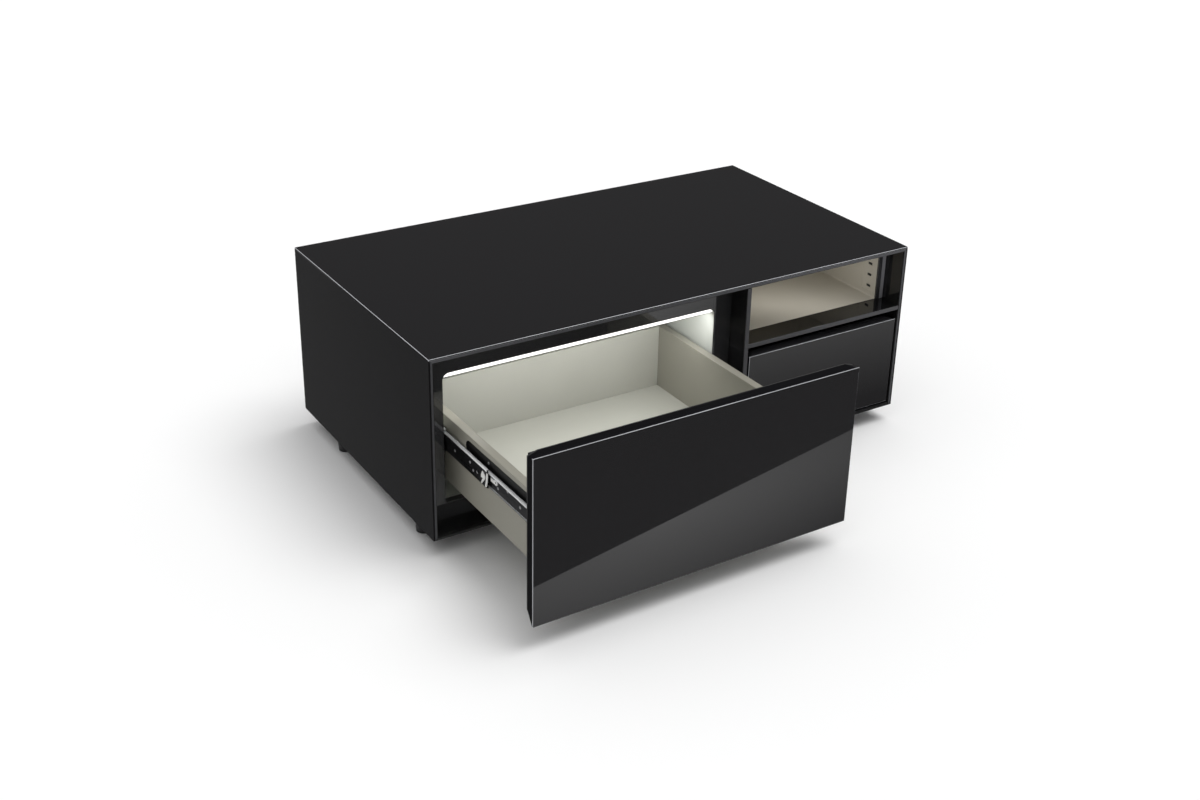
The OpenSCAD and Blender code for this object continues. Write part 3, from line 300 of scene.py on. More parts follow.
# The small drawer's frame is painted lighter than the other frame, as painted light on its top,
# which lies in shade in the gap.
small_frame_painted_paler = brushed("small_frame_painted_light_grey", (0.03, 0.03, 0.033), 0.3, "x", metallic=0.3)
rivet_steel = brushed("rivet_steel", (0.34, 0.34, 0.35), 0.38, "y", metallic=0.4)
covers_and_slot_shade_black = moulded("black_cover_and_painted_slot_shade", (0.010, 0.010, 0.010), 0.5)
# The drawer is one paint: the walls are painted darker as painted shade, the floor and back lighter
# as painted light.
drawer_walls_painted_shade = enamelled("drawer_steel_painted_shade", (0.30, 0.29, 0.245), 0.4)
drawer_floor_painted_light = enamelled("drawer_steel_painted_light", (0.50, 0.50, 0.45), 0.36)
small_box = moulded("black_foiled_board", (0.03, 0.03, 0.031), 0.4)
rubber = moulded("black_rubber", (0.012, 0.012, 0.013), 0.7, grain=900.0, depth=0.00006)
foot_black = moulded("foot_plastic", (0.011, 0.011, 0.012), 0.42)
motor_black = enamelled("compressor_paint", (0.012, 0.012, 0.012), 0.4)
coil_metal = brushed("fin_metal", (0.52, 0.42, 0.32), 0.4, "z")
copper = brushed("copper_tube", (0.72, 0.33, 0.17), 0.28, "x")
board_green = moulded("circuit_board", (0.03, 0.14, 0.05), 0.4)
fan_black = moulded("fan_plastic", (0.018, 0.018, 0.019), 0.42)
inlet_black = moulded("inlet_plastic", (0.015, 0.015, 0.016), 0.45)
print("the liner's colour:", [round(v, 3) for v in liner_beige.diffuse_color[:3]])

# %% [markdown]
# ## Giving each part its finish
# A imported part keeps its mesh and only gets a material. The same table also tells the detailed
# pieces that stand for a part, further on, which finish they take.

# %% Finishes on the parts
FINISHES = {
    top_black: ["top_glass"],
    side_black: ["left_side_glass", "right_side_glass"],
    front_black: ["fridge_front_glass", "small_front_glass"],
    board_black: ["top_board", "side_boards", "centre_divider", "base_board",
                  "machine_partition"],
    edge_grey: ["outer_edge_trims", "inner_edge_trims"],
    plate_black: ["fridge_face_plate", "niche_face_plate"],
    shelf_black: ["shelf_board"],
    back_steel: ["back_panel"],
    liner_beige: ["fridge_liner"],
    tray_grey: ["fridge_front_tray"],
    niche_beige: ["niche_liner", "socket_plate"],
    lip_white: ["liner_lip"],
    foam: ["insulation_foam", "fridge_front_core"],
    led_body: ["led_housing"],
    led_lens: ["led_diffuser"],
    aluminium: ["evaporator_plate"],
    zinc_finish_and_highlight: ["usb_sockets", "foot_studs", "panel_screws", "middle_ball_cages", "slide_screws"],
    slide_dark: ["fridge_slide_outer", "fridge_slide_middle", "fridge_slide_inner",
                 "small_slides_outer", "small_slides_inner"],
    stop_white: ["slide_stops", "release_lever_left", "release_lever_right"],
    frame_grey: ["fridge_front_frame"],
    small_frame_painted_paler: ["small_front_frame"],
    # The black slot inserts stand in for the shade inside the wall slots: painted shade.
    covers_and_slot_shade_black: ["fridge_front_cover", "small_front_cover", "wall_slot_inserts"],
    # Darker walls are painted shade, the lighter floor and back painted light.
    drawer_walls_painted_shade: ["fridge_box_sides"],
    drawer_floor_painted_light: ["fridge_box_back", "fridge_box_floor"],
    small_box: ["small_drawer_box"],
    rubber: ["compressor_grommets", "fridge_gasket"],
    foot_black: ["feet"],
    motor_black: ["compressor"],
    coil_metal: ["condenser_coil"],
    copper: ["filter_drier", "refrigerant_pipes"],
    board_green: ["control_board"],
    fan_black: ["fan_frame", "fan_rotor"],
    inlet_black: ["power_inlet", "rear_grille"],
}
finish_of = {name: finish for finish, names in FINISHES.items() for name in names}
for name, finish in finish_of.items():
    mesh = nodes[name].data
    mesh.materials.clear()
    mesh.materials.append(finish)
print("finishes:", len(FINISHES), "parts without one:", sorted(set(nodes) - set(finish_of)))

# %% [markdown]
# ## Helpers for shapes
# A bmesh holds a shape while it is being made. The helpers start a block between two corners, copy
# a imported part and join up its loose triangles, give flat faces a thickness and round the sharp
# edges. The last one makes an object of the shape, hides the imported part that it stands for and
# lets it move with the same body. Only faces narrower than about 3 mm are shaded smooth, so that
# the broad ones stay dead flat in their reflections. Two places that are less than TOUCH apart
# count as the same place.

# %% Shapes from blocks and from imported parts
TOUCH = 0.0002
WELD = 0.00001
FLAT_DEG = 1
SMOOTH_BELOW = 0.0015
CREASE_DEG = 38


def add_block(bm, low, high):
    """Adds a block between two corners."""
    verts = bmesh.ops.create_cube(bm, size=1.0)["verts"]
    bmesh.ops.scale(bm, vec=Vector(high) - Vector(low), verts=verts)
    bmesh.ops.translate(bm, vec=(Vector(high) + Vector(low)) / 2, verts=verts)


def joined_copy(node):
    """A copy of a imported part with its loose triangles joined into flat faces."""
    bm = bmesh.new()
    bm.from_mesh(nodes[node].data)
    bmesh.ops.remove_doubles(bm, verts=bm.verts, dist=WELD)
    bmesh.ops.dissolve_limit(bm, angle_limit=math.radians(FLAT_DEG), verts=bm.verts, edges=bm.edges)
    return bm


def thicken(bm, by):
    """Pulls flat faces out by a vector, and closes the sides."""
    grown = bmesh.ops.extrude_face_region(bm, geom=bm.faces[:])
    moved = [v for v in grown["geom"] if isinstance(v, bmesh.types.BMVert)]
    bmesh.ops.translate(bm, vec=by, verts=moved)
    bmesh.ops.recalc_face_normals(bm, faces=bm.faces)


def round_over(bm, width_mm, segments=2, which=None, sharper_deg=30):
    """Rounds the edges that are sharper than an angle and, where one is given, pass a test."""
    edges = [e for e in bm.edges
             if len(e.link_faces) == 2 and e.calc_face_angle() > math.radians(sharper_deg)]
    if which:
        edges = [e for e in edges if which(e)]
    made = bmesh.ops.bevel(bm, geom=edges, offset=width_mm / 1000, offset_type="OFFSET",
                           affect="EDGES", segments=segments, profile=0.5, material=-1)
    return made["faces"]


def place(name, bm, node, *finishes, stands_in=True):
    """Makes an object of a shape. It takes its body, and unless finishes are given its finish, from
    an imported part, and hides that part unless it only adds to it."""
    for face in bm.faces:
        face.smooth = face.calc_area() / face.calc_perimeter() < SMOOTH_BELOW
    for edge in bm.edges:
        outer = len(edge.link_faces) != 2
        edge.smooth = outer or edge.calc_face_angle() < math.radians(CREASE_DEG)
    mesh = bpy.data.meshes.new(name)
    bm.to_mesh(mesh)
    bm.free()
    for finish in finishes or [finish_of[node]]:
        mesh.materials.append(finish)
    thing = bpy.data.objects.new(name, mesh)
    scene.collection.objects.link(thing)
    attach(thing, body_of[node])
    if stands_in:
        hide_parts(node)


# %% [markdown]
# ## The glass panes
# Each pane is a plain block whose edges have been ground off at 45 degrees. On the top and the
# fronts those narrow flats are the thin light lines round the black surfaces. A bevel of one
# segment makes them, and they take the pale matt finish, which is partly a painted highlight. On
# the side panes they stay black, because no light line shows there.

# %% Top, side and front panes
PANES = {
    "top_glass": ("black_top_pane", 0.9),
    "left_side_glass": ("black_left_pane", 0.5),
    "right_side_glass": ("black_right_pane", 0.5),
    "fridge_front_glass": ("fridge_drawer_pane", 0.8),
    "small_front_glass": ("small_drawer_pane", 0.8),
}
for node, (name, ground_mm) in PANES.items():
    bm = bmesh.new()
    add_block(bm, *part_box(node))
    # The pale edge finish is partly frosted glass and partly a painted highlight.
    for face in round_over(bm, ground_mm, segments=1):
        face.material_index = 0 if "side" in node else 1
    place(name, bm, node, finish_of[node], ground_edge_and_highlight)
print("panes:", len(PANES))

# %% [markdown]
# ## The grey frame round the front
# Four anodised strips close the front edges of the boards. They read as one frame, so it is made
# as one: a face the size of the front, inset by the width of a strip, its middle taken out, and the
# ring that is left pulled back to the strips' thickness. The upper and lower strips are a
# millimetre wider than the upright ones. The upper one is painted a little paler than the
# uprights, as painted light, and the lower one is painted as black as the base, as painted shade.

# %% Outer edge strips
STRIP_WIDE = 0.007
RUN_WIDER = 0.001
RUN_WIDE = STRIP_WIDE + RUN_WIDER + TOUCH
front_low, front_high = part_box("outer_edge_trims")
centre = (front_low + front_high) / 2
size = front_high - front_low
bm = bmesh.new()
bmesh.ops.create_grid(bm, x_segments=1, y_segments=1, size=0.5)
upright = Matrix.Rotation(math.radians(90), 3, "X")
bmesh.ops.rotate(bm, cent=(0, 0, 0), matrix=upright, verts=bm.verts)
bmesh.ops.scale(bm, vec=(size.x, 1, size.z), verts=bm.verts)
bmesh.ops.translate(bm, vec=(centre.x, front_low.y, centre.z), verts=bm.verts)
middle = bm.faces[:]
bmesh.ops.inset_region(bm, faces=middle, thickness=STRIP_WIDE, use_boundary=True)
for vert in middle[0].verts:
    vert.co.z += RUN_WIDER if vert.co.z < centre.z else -RUN_WIDER
bmesh.ops.delete(bm, geom=middle, context="FACES")
thicken(bm, (0, size.y, 0))
round_over(bm, 0.4)
# The lower run takes the base's black as painted shade, the upper run the paler grey as painted
# light.
for face in bm.faces:
    height = face.calc_center_median().z
    if height < front_low.z + RUN_WIDE:
        face.material_index = 1
    elif height > front_high.z - RUN_WIDE:
        face.material_index = 2
place("front_edge_frame", bm, "outer_edge_trims", edge_grey, board_black, top_run_painted_paler)
print("edge strips, mm thick:", round(size.y * 1000, 2))

# %% [markdown]
# ## The inner strips
# The strips on the divider and the shelf are rounded copies of the imported ones. One more strip
# closes the niche's right corner. It stands further back than the others and is painted paler, as
# painted light, so its faces are told apart by how far they are behind the front.

# %% Inner edge strips
CORNER_BEHIND = 0.05
bm = joined_copy("inner_edge_trims")
round_over(bm, 0.5)
# Faces further back are the corner strip, which takes the paler grey as painted light.
for face in bm.faces:
    if face.calc_center_median().y > front_low.y + CORNER_BEHIND:
        face.material_index = 1
pale = sum(face.material_index for face in bm.faces)
place("inner_edge_strips", bm, "inner_edge_trims", edge_grey, corner_strip_paler)
print("faces of the pale corner strip:", pale)

# %% [markdown]
# ## Softening the plain parts
# No real part has a perfectly sharp edge: sheet is folded, board is sanded and plastic comes out of
# a rounded mould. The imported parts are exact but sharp, so most of them are shown by a rounded
# copy. The width of the rounding is what the real process leaves: half a millimetre on sheet and
# board, more on mouldings.

# %% Rounded copies
ROUNDING_MM = {
    "top_board": 0.4, "side_boards": 0.4, "centre_divider": 0.4, "base_board": 0.6,
    "shelf_board": 0.6, "machine_partition": 0.6, "back_panel": 0.4, "fridge_face_plate": 0.4,
    "niche_face_plate": 0.5, "led_housing": 0.4, "socket_plate": 0.3, "fridge_front_frame": 0.9,
    "fridge_front_cover": 0.8, "small_front_frame": 0.9, "small_front_cover": 0.8,
    "fridge_gasket": 0.7, "fridge_front_tray": 0.8, "fridge_box_back": 0.5,
    "wall_slot_inserts": 0.3, "small_drawer_box": 0.6, "rear_grille": 0.5, "power_inlet": 0.3,
    "compressor": 1.0, "fan_frame": 0.5, "control_board": 0.5, "small_slides_outer": 0.4,
    "small_slides_inner": 0.4, "release_lever_left": 0.3, "release_lever_right": 0.3,
}
for node, width_mm in ROUNDING_MM.items():
    bm = joined_copy(node)
    round_over(bm, width_mm)
    place(node + "_rounded", bm, node)
print("rounded copies:", len(ROUNDING_MM))

# %% [markdown]
# ## The linings
# A lining is vacuum formed, so its inside corners can't be sharp: the warm sheet bridges them with
# a radius. Only the concave edges get it here, and the outer rims are just broken.

# %% Compartment and niche linings
INSIDE_MM = {"fridge_liner": 6.0, "niche_liner": 3.0}
RIM_MM = 0.4


def concave(edge):
    return not edge.is_convex


def convex(edge):
    return edge.is_convex


for node, inside_mm in INSIDE_MM.items():
    bm = joined_copy(node)
    round_over(bm, inside_mm, segments=4, which=concave)
    round_over(bm, RIM_MM, segments=1, which=convex, sharper_deg=60)
    place(node + "_formed", bm, node)
print("formed linings:", list(INSIDE_MM))

# %% [markdown]
# ## The edging of the opening
# A thin strip runs round the opening of the compartment. It shows white only on the faces that
# look into the opening. Its front edge is as black as the plate round it, and the faces of its
# lower run that look up are painted as black as the plate too, as painted shade from the dark sill.
# One piece with two finishes does it: the way a face looks decides.

# %% Edging
LIP_RUN = 0.004
FACING = 0.3
lip_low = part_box("liner_lip")[0]
bm = joined_copy("liner_lip")
round_over(bm, 0.3, segments=1)
for face in bm.faces:
    in_painted_shade_run = face.calc_center_median().z < lip_low.z + LIP_RUN
    # The lower run's upward faces take the plate's black as painted shade.
    if face.normal.y < -FACING or (in_painted_shade_run and face.normal.z > FACING):
        face.material_index = 1
dark = sum(face.material_index for face in bm.faces)
print("edging faces:", len(bm.faces), "dark:", dark)
place("opening_edging", bm, "liner_lip", lip_white, plate_black)

# %% [markdown]
# ## The light strip
# The diffuser fills the top of the opening from corner to corner, so its ends follow the round
# corners of the liner. A block that is deeper than needed gets those two corners rounded first. A
# cutting plane then keeps only its upper band, and the cut is closed with one face.

# %% Diffuser
CORNER_MM = 15.7
LINER_WALL = 0.0033
SPARE_DEPTH = 0.04
TOP_GAP = 0.0003
low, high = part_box("led_diffuser")
liner_low, liner_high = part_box("fridge_liner")


def along_top_corner(edge):
    """Whether an edge runs from front to back along the top of the block."""
    one, other = [vert.co for vert in edge.verts]
    return min(one.z, other.z) > low.z and abs(one.x - other.x) < TOUCH


bm = bmesh.new()
add_block(bm, (liner_low.x + LINER_WALL, low.y, low.z - SPARE_DEPTH),
          (liner_high.x - LINER_WALL, high.y, high.z - TOP_GAP))
round_over(bm, CORNER_MM, segments=12, which=along_top_corner)
cut = bmesh.ops.bisect_plane(bm, geom=bm.verts[:] + bm.edges[:] + bm.faces[:],
                             plane_co=(0, 0, low.z), plane_no=(0, 0, 1), clear_inner=True)
cut_edges = [part for part in cut["geom_cut"] if isinstance(part, bmesh.types.BMEdge)]
bmesh.ops.contextual_create(bm, geom=cut_edges)
bmesh.ops.recalc_face_normals(bm, faces=bm.faces)
print("diffuser faces:", len(bm.faces))
place("lit_diffuser_strip", bm, "led_diffuser")

# %% [markdown]
# ## The ball slides
# The slides are rolled from steel strip and blackened. The rolling leaves a radius along the long
# corners, a generous one on the outside of the middle member. Faces that look up take the bright
# zinc finish as a painted highlight, and the rest stays dark. The inner member also gets a narrow
# bright strip along each side of its upper edge, another painted highlight.

# %% Slide members
SLIDES = {
    "fridge_slide_outer": (0.9, 4, False),
    "fridge_slide_middle": (4.4, 6, True),
    "fridge_slide_inner": (1.0, 4, False),
}
LONG_EDGE = 0.2
LOOKS_UP = 0.2
HIGHLIGHT_STRIP_HIGH = 0.0055
HIGHLIGHT_STRIP_THICK = 0.001
HIGHLIGHT_STRIP_TOP_GAP = 0.0003
HIGHLIGHT_STRIP_END_GAP = 0.0005


def long_corner(low, high, at_sides):
    """A test for the long outer corners of a member, if need be only those at its sides."""
    def test(edge):
        at = edge.verts[0].co
        at_rim = min(at.z - low.z, high.z - at.z) < TOUCH
        at_side = min(abs(at.x - low.x), abs(at.x - high.x)) < TOUCH
        outer = edge.calc_length() > LONG_EDGE and edge.is_convex and at_rim
        return outer and (at_side or not at_sides)
    return test


for node, (rolled_mm, segments, at_sides) in SLIDES.items():
    bm = joined_copy(node)
    low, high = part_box(node)
    round_over(bm, rolled_mm, segments, which=long_corner(low, high, at_sides))
    painted_highlight_above = high.z
    # The two narrow bright strips on the inner member are painted highlights.
    if node == "fridge_slide_inner":
        painted_highlight_above -= HIGHLIGHT_STRIP_HIGH
        highlight_strip_top = high.z - HIGHLIGHT_STRIP_TOP_GAP
        for x in (low.x, high.x - HIGHLIGHT_STRIP_THICK):
            add_block(bm, (x, low.y + HIGHLIGHT_STRIP_END_GAP, highlight_strip_top - HIGHLIGHT_STRIP_HIGH),
                      (x + HIGHLIGHT_STRIP_THICK, high.y - HIGHLIGHT_STRIP_END_GAP, highlight_strip_top))
    # Faces that look up, and the two strips, take the bright finish: a painted highlight.
    for face in bm.faces:
        if face.normal.z > LOOKS_UP or face.calc_center_median().z > painted_highlight_above:
            face.material_index = 1
    place(node + "_rolled", bm, node, slide_dark, zinc_finish_and_highlight)
print("slide members:", len(SLIDES))

# %% [markdown]
# ## Rivets and screws on the slides
# A few rivets show on the members, and one screw in the slot of each wall. All of them have pan
# heads: a low cylinder with its outer rim rounded. They are made on the left of the drawer and
# mirrored to the right, and they only add to the parts that they sit on.

# %% Pan heads on the slides
HEAD_TAPER = 0.96
RIM_SHARE = 0.45
WEB_BEHIND = 0.0038
SLOT_X = -0.5703
middle_low, middle_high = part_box("fridge_slide_middle")
middle_at = (middle_low + middle_high) / 2
inner_web_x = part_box("fridge_slide_inner")[0].x + WEB_BEHIND


def pan_head(bm, at, radius, high):
    """A pan head that stands on a face looking along -X."""
    made = bmesh.ops.create_cone(bm, cap_ends=True, segments=20, radius1=radius,
                                 radius2=radius * HEAD_TAPER, depth=high)
    verts = made["verts"]
    sideways = Matrix.Rotation(math.radians(-90), 3, "Y")
    bmesh.ops.rotate(bm, verts=verts, cent=(0, 0, 0), matrix=sideways)
    bmesh.ops.translate(bm, verts=verts, vec=Vector(at) - Vector((high / 2, 0, 0)))
    faces = {f for v in verts for f in v.link_faces}
    front = min(faces, key=lambda f: f.calc_center_median().x)
    bmesh.ops.bevel(bm, geom=front.edges[:], offset=high * RIM_SHARE, offset_type="OFFSET",
                    affect="EDGES", segments=3, profile=0.5, material=-1)


def both_sides(bm):
    """Adds the mirror image on the other side of the drawer."""
    copy = bmesh.ops.duplicate(bm, geom=bm.verts[:] + bm.edges[:] + bm.faces[:])
    verts = [v for v in copy["geom"] if isinstance(v, bmesh.types.BMVert)]
    for vert in verts:
        vert.co.x = 2 * middle_at.x - vert.co.x
    faces = [f for f in copy["geom"] if isinstance(f, bmesh.types.BMFace)]
    bmesh.ops.reverse_faces(bm, faces=faces)


HEADS = {
    "inner_member_rivets": ("fridge_slide_inner", inner_web_x, 0.0036, 0.0012, [
        (-0.322, 0.2345), (-0.362, 0.2475), (-0.414, 0.237), (-0.466, 0.2465)]),
    "slot_screws": ("wall_slot_inserts", SLOT_X, 0.0034, 0.0012, [(-0.267, 0.264)]),
    "middle_member_rivets": ("fridge_slide_middle", middle_low.x, 0.0032, 0.0009, [
        (-0.146, 0.240), (-0.215, 0.246), (-0.229, 0.2335)]),
}
for name, (node, x, radius, high, places) in HEADS.items():
    bm = bmesh.new()
    for y, z in places:
        pan_head(bm, (x, y, z), radius, high)
    both_sides(bm)
    place(name, bm, node, rivet_steel, stands_in=False)
    print(name, "on each side:", len(places))

# %% [markdown]
# ## The white stops
# The stop at the end of each middle member is nylon: a hook with two prongs, and a crescent in
# front of it. Each is one face with an outline of a few points, in millimetres from the member's
# front end and from its middle height, and is pulled out to its thickness.

# %% Nylon stops
STOP_THICK = 0.0012
HOOK_MM = [(16, 13.5), (22, 2), (21.5, -4), (14, -2.5), (21, -14), (22, -17), (18.5, -17.5),
           (9, -6.5), (3.5, 1.5), (3.5, 6), (10, 12)]
CRESCENT_MM = [(-3, 17.5), (-0.5, 8.5), (0, -1.5), (2.5, -11), (3.5, -17.5), (-2, -16.5),
               (-5, -10), (-7, 0), (-7.5, 10), (-7.5, 16)]
bm = bmesh.new()
for outline in (HOOK_MM, CRESCENT_MM):
    points = [(middle_low.x, middle_low.y + y / 1000, middle_at.z + z / 1000) for y, z in outline]
    bm.faces.new([bm.verts.new(point) for point in points])
thicken(bm, (-STOP_THICK, 0, 0))
round_over(bm, 0.3)
both_sides(bm)
print("stop faces:", len(bm.faces))
place("nylon_stops", bm, "slide_stops", stop_white)

# %% [markdown]
# ## The drawer's walls
# The walls are folded from sheet over a hollow core. A fold leaves a radius along the broad rim,
# which catches the light as a soft line.

# %% Drawer walls
FOLD_MM = 1.6
RIM_LONG = 0.1
wall_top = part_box("fridge_box_sides")[1].z


def along_rim(edge):
    """Whether an edge is one of the long ones at the top of the walls."""
    at_top = all(vert.co.z > wall_top - TOUCH for vert in edge.verts)
    return at_top and edge.calc_length() > RIM_LONG


bm = joined_copy("fridge_box_sides")
round_over(bm, FOLD_MM, segments=4, which=along_rim)
round_over(bm, 0.3, segments=1, sharper_deg=60)
print("wall faces:", len(bm.faces))
place("drawer_side_walls", bm, "fridge_box_sides")

# %% [markdown]
# ## The charging sockets
# Each socket is a folded metal shell round a plastic tongue. The tongue looks dark inside the
# bright shell, so its faces take the plastic's finish. The sockets stand over each other, so a
# face's height above the lowest one, less whole steps, says where it lies in its own socket.

# %% Socket tongues
SOCKET_PITCH = 0.0295
SHELL_HIGH = 0.0064
TONGUE_IN = 0.0012
TONGUE_HALF_WIDE = 0.0058
TONGUE_ABOVE = 0.0006
TONGUE_HALF_HIGH = 0.0012
low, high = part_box("usb_sockets")
middle_y = (low.y + high.y) / 2
bm = joined_copy("usb_sockets")
for face in bm.faces:
    at = face.calc_center_median()
    above_middle = (at.z - low.z) % SOCKET_PITCH - SHELL_HIGH / 2
    inside = at.x > low.x + TONGUE_IN and abs(at.y - middle_y) < TONGUE_HALF_WIDE
    if inside and abs(above_middle - TONGUE_ABOVE) < TONGUE_HALF_HIGH:
        face.material_index = 1
tongue_faces = sum(face.material_index for face in bm.faces)
place("metal_sockets", bm, "usb_sockets", socket_metal, inlet_black)
print("tongue faces:", tongue_faces)

# %% [markdown]
# ## The feet
# Each foot is a turned plastic cone on a softer sole. One half of its outline is drawn as a few
# points and spun round its own axis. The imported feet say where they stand: the points of their
# upper rims are sorted into one group for each foot, and the middle of a group is the foot's axis.

# %% Feet
FOOT_HIGH = 0.042
FOOT_WIDE = 0.06
FOOT_OUTLINE = [(0.0, 0.0), (0.0150, 0.0), (0.0168, 0.0012), (0.0170, 0.0040), (0.0158, 0.0048),
                (0.0158, 0.0056), (0.0171, 0.0064), (0.0199, 0.0405), (0.0190, FOOT_HIGH),
                (0.0, FOOT_HIGH)]
SOLE_TOP = 0.0045
groups = []
for vert in nodes["feet"].data.vertices:
    at = vert.co.copy()
    if at.z > FOOT_HIGH - TOUCH:
        near = next((group for group in groups if (group[0] - at).length < FOOT_WIDE), None)
        if near:
            near.append(at)
        else:
            groups.append([at])
feet_at = []
for group in groups:
    xs, ys = [point.x for point in group], [point.y for point in group]
    feet_at.append(Vector(((min(xs) + max(xs)) / 2, (min(ys) + max(ys)) / 2, 0)))
bm = bmesh.new()
for at in feet_at:
    outline = [bm.verts.new(at + Vector((r, 0, z))) for r, z in FOOT_OUTLINE]
    edges = [bm.edges.new(pair) for pair in zip(outline, outline[1:])]
    bmesh.ops.spin(bm, geom=outline + edges, cent=at, axis=(0, 0, 1), angle=math.tau, steps=40,
                   use_merge=True)
bmesh.ops.remove_doubles(bm, verts=bm.verts, dist=WELD)
bmesh.ops.recalc_face_normals(bm, faces=bm.faces)
for face in bm.faces:
    if face.calc_center_median().z < SOLE_TOP:
        face.material_index = 1
place("turned_feet", bm, "feet", foot_black, rubber)
print("feet at:", [(round(at.x, 3), round(at.y, 3)) for at in feet_at])

# %% [markdown]
# ## The floor
# The table stands on a plain pale floor that is wide enough to fill the picture. It isn't part of
# the object, so it is marked as stage.

# %% Floor
FLOOR_HALF = 30.0


def studio_piece(name, bm, finish):
    """Makes an object of a shape that only the studio has."""
    mesh = bpy.data.meshes.new(name)
    bm.to_mesh(mesh)
    bm.free()
    mesh.materials.append(finish)
    thing = bpy.data.objects.new(name, mesh)
    scene.collection.objects.link(thing)
    thing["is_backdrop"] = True
    return thing


floor_paint = new_finish("floor_paint", grey(0.95), 0.9, Specular_IOR_Level=0.0)
bm = bmesh.new()
bmesh.ops.create_grid(bm, x_segments=1, y_segments=1, size=FLOOR_HALF)
studio_piece("studio_floor", bm, floor_paint)
print("floor, metres wide:", 2 * FLOOR_HALF)

# %% [markdown]
# ## The sky
# The sky is bright overhead and dim towards the horizon, as in a studio with a large soft box
# above, so the upright sides come out darker than the faces that look up. Its shade depends on the
# height alone. The lowest band, level with the horizon, is white again, and that is what the
# picture shows behind the floor.

# %% Sky
SKY_BY_HEIGHT = [(0.0, 1.0), (0.17, 1.0), (0.29, 0.13), (0.46, 0.22), (0.86, 1.0)]
scene.view_settings.view_transform = "Standard"
world = bpy.data.worlds.new("studio_sky")
scene.world = world
world.use_nodes = True
sky_tree = world.node_tree
heading = sky_tree.nodes.new("ShaderNodeTexCoord")
parts = sky_tree.nodes.new("ShaderNodeSeparateXYZ")
shades = colour_ramp(sky_tree, [(height, grey(shade)) for height, shade in SKY_BY_HEIGHT])
sky_tree.links.new(heading.outputs["Object"], parts.inputs["Vector"])
sky_tree.links.new(parts.outputs["Z"], shades.inputs["Fac"])
sky_tree.links.new(shades.outputs["Color"], sky_tree.nodes["Background"].inputs["Color"])
print("sky stops:", len(SKY_BY_HEIGHT))

# %% [markdown]
# ## The lamps
# A weak soft sun from the right adds a shadow to the left. The strip under the opening's top edge
# lights the compartment, so a long narrow lamp hangs just below it. A faint lamp fills the charging
# niche, which would be too dark without one.

# %% Sun and panel lamps
SUN_SPREAD_DEG = 40
PANELS = {
    "strip_light": ((-0.239, -0.092, 0.3895), (0, 0.45, -1), (0.66, 0.008), 1.35),
    "niche_fill": ((0.40, -0.04, 0.446), (0.25, 0.35, -1), (0.30, 0.05), 0.16),
}


def add_lamp(name, kind, at, direction, strength):
    """A lamp that shines along a direction."""
    lamp = bpy.data.lights.new(name, kind)
    lamp.energy = strength
    thing = bpy.data.objects.new(name, lamp)
    thing.location = at
    thing.rotation_mode = "QUATERNION"
    thing.rotation_quaternion = Vector(direction).to_track_quat("-Z", "Y")
    scene.collection.objects.link(thing)
    return lamp


soft_sun = add_lamp("soft_sun", "SUN", at=(0, 0, 0), direction=(-0.35, 0.15, -1.0),
                    strength=1.35)
soft_sun.angle = math.radians(SUN_SPREAD_DEG)
for name, (at, direction, (long_side, short_side), power) in PANELS.items():
    panel = add_lamp(name, "AREA", at, direction, power)
    panel.shape = "RECTANGLE"
    panel.size, panel.size_y = long_side, short_side
print("lamps:", len(bpy.data.lights))

# %% [markdown]
# ## Cards for the reflections
# Polished black shows nothing but what it mirrors. In a white studio it would mirror white, so a
# photographer sets up darker cards just outside the picture. Only reflections see these four. One
# stands in front of the drawer, and its lower edge draws the diagonal line across the drawer's
# glass. One lies at the foot of the left side. The other two lie in front of the table, and their
# shade runs: out from a bright middle before the fridge drawer, and from front to back before the
# small one. Each card has its own glow, so the table's shadow can't change it.

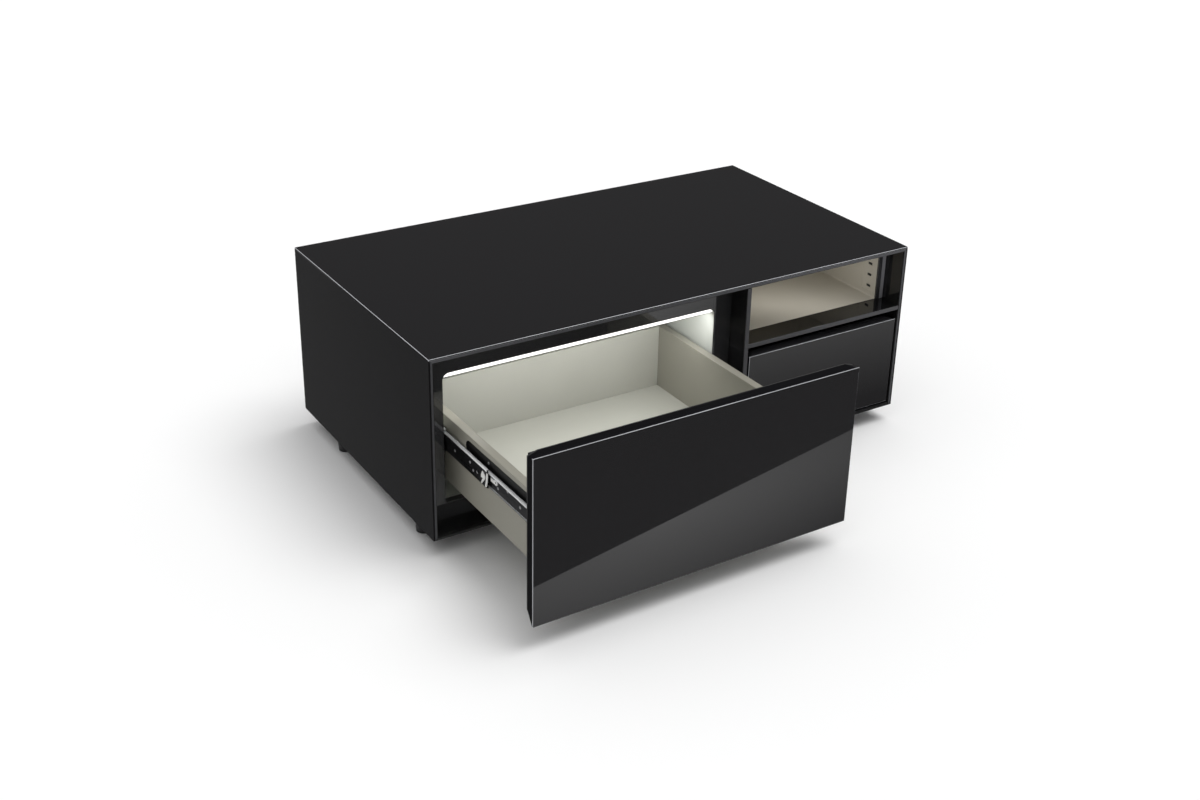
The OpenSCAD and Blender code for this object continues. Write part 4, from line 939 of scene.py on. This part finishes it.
# %% Helpers for cards
def card(name, corner, along, rise, shade):
    """A flat card from a corner and its two sides."""
    bm = bmesh.new()
    bmesh.ops.create_grid(bm, x_segments=1, y_segments=1, size=0.5)
    corner, along, rise = Vector(corner), Vector(along), Vector(rise)
    for vert in bm.verts:
        vert.co = corner + along * (vert.co.x + 0.5) + rise * (vert.co.y + 0.5)
    glow = new_finish(name + "_glow", (0, 0, 0), 1.0, Specular_IOR_Level=0.0,
                      Emission_Strength=1.0, Emission_Color=(*grey(shade), 1))
    thing = studio_piece(name, bm, glow)
    thing.visible_camera = False
    thing.visible_diffuse = False
    thing.visible_shadow = False
    thing.visible_transmission = False
    return glow


def fade(glow, kind, at, turn_deg, size, stops):
    """Lets a card's glow run from one shade to another, along its length or out from a middle."""
    tree = glow.node_tree
    coordinates = tree.nodes.new("ShaderNodeTexCoord")
    mapping = tree.nodes.new("ShaderNodeMapping")
    mapping.vector_type = "TEXTURE"
    mapping.inputs["Location"].default_value = at
    mapping.inputs["Rotation"].default_value = (0, 0, math.radians(turn_deg))
    mapping.inputs["Scale"].default_value = size
    run = tree.nodes.new("ShaderNodeTexGradient")
    run.gradient_type = kind
    shades = colour_ramp(tree, [(position, grey(shade)) for position, shade in stops])
    tree.links.new(coordinates.outputs["Object"], mapping.inputs["Vector"])
    tree.links.new(mapping.outputs["Vector"], run.inputs["Vector"])
    tree.links.new(run.outputs["Fac"], shades.inputs["Fac"])
    tree.links.new(shades.outputs["Color"], shader_of(glow).inputs["Emission Color"])


# %% The four cards
card("front_card", corner=(-1.51, -0.553, 0.0), along=(3.02, -0.596, 0.0), rise=(0, 0, 0.9),
     shade=0.15)
card("left_card", corner=(-1.6, -0.55, 0.004), along=(0.94, 0, 0), rise=(0, 2.6, 0), shade=0.27)
pool = card("pool_card", corner=(-1.5, -1.5, 0.003), along=(2.35, 0, 0), rise=(0, 1.02, 0),
            shade=1.0)
fade(pool, "SPHERICAL", at=(-0.13, -0.83, 0), turn_deg=-11.2, size=(1.45, 0.34, 1),
     stops=[(0.0, 0.12), (1.0, 0.84)])
side_pool = card("side_pool_card", corner=(0.30, -0.64, 0.005), along=(2.4, 0, 0),
                 rise=(0, 0.44, 0), shade=1.0)
fade(side_pool, "LINEAR", at=(0.0, -0.62, 0), turn_deg=90, size=(0.34, 1, 1),
     stops=[(0.0, 0.46), (1.0, 0.13)])

# %% [markdown]
# ## The finished box
# The box of the finished table is printed.

# %% The finished box
low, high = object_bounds()
print("box now:", [round(v, 4) for v in (*low, *high)])
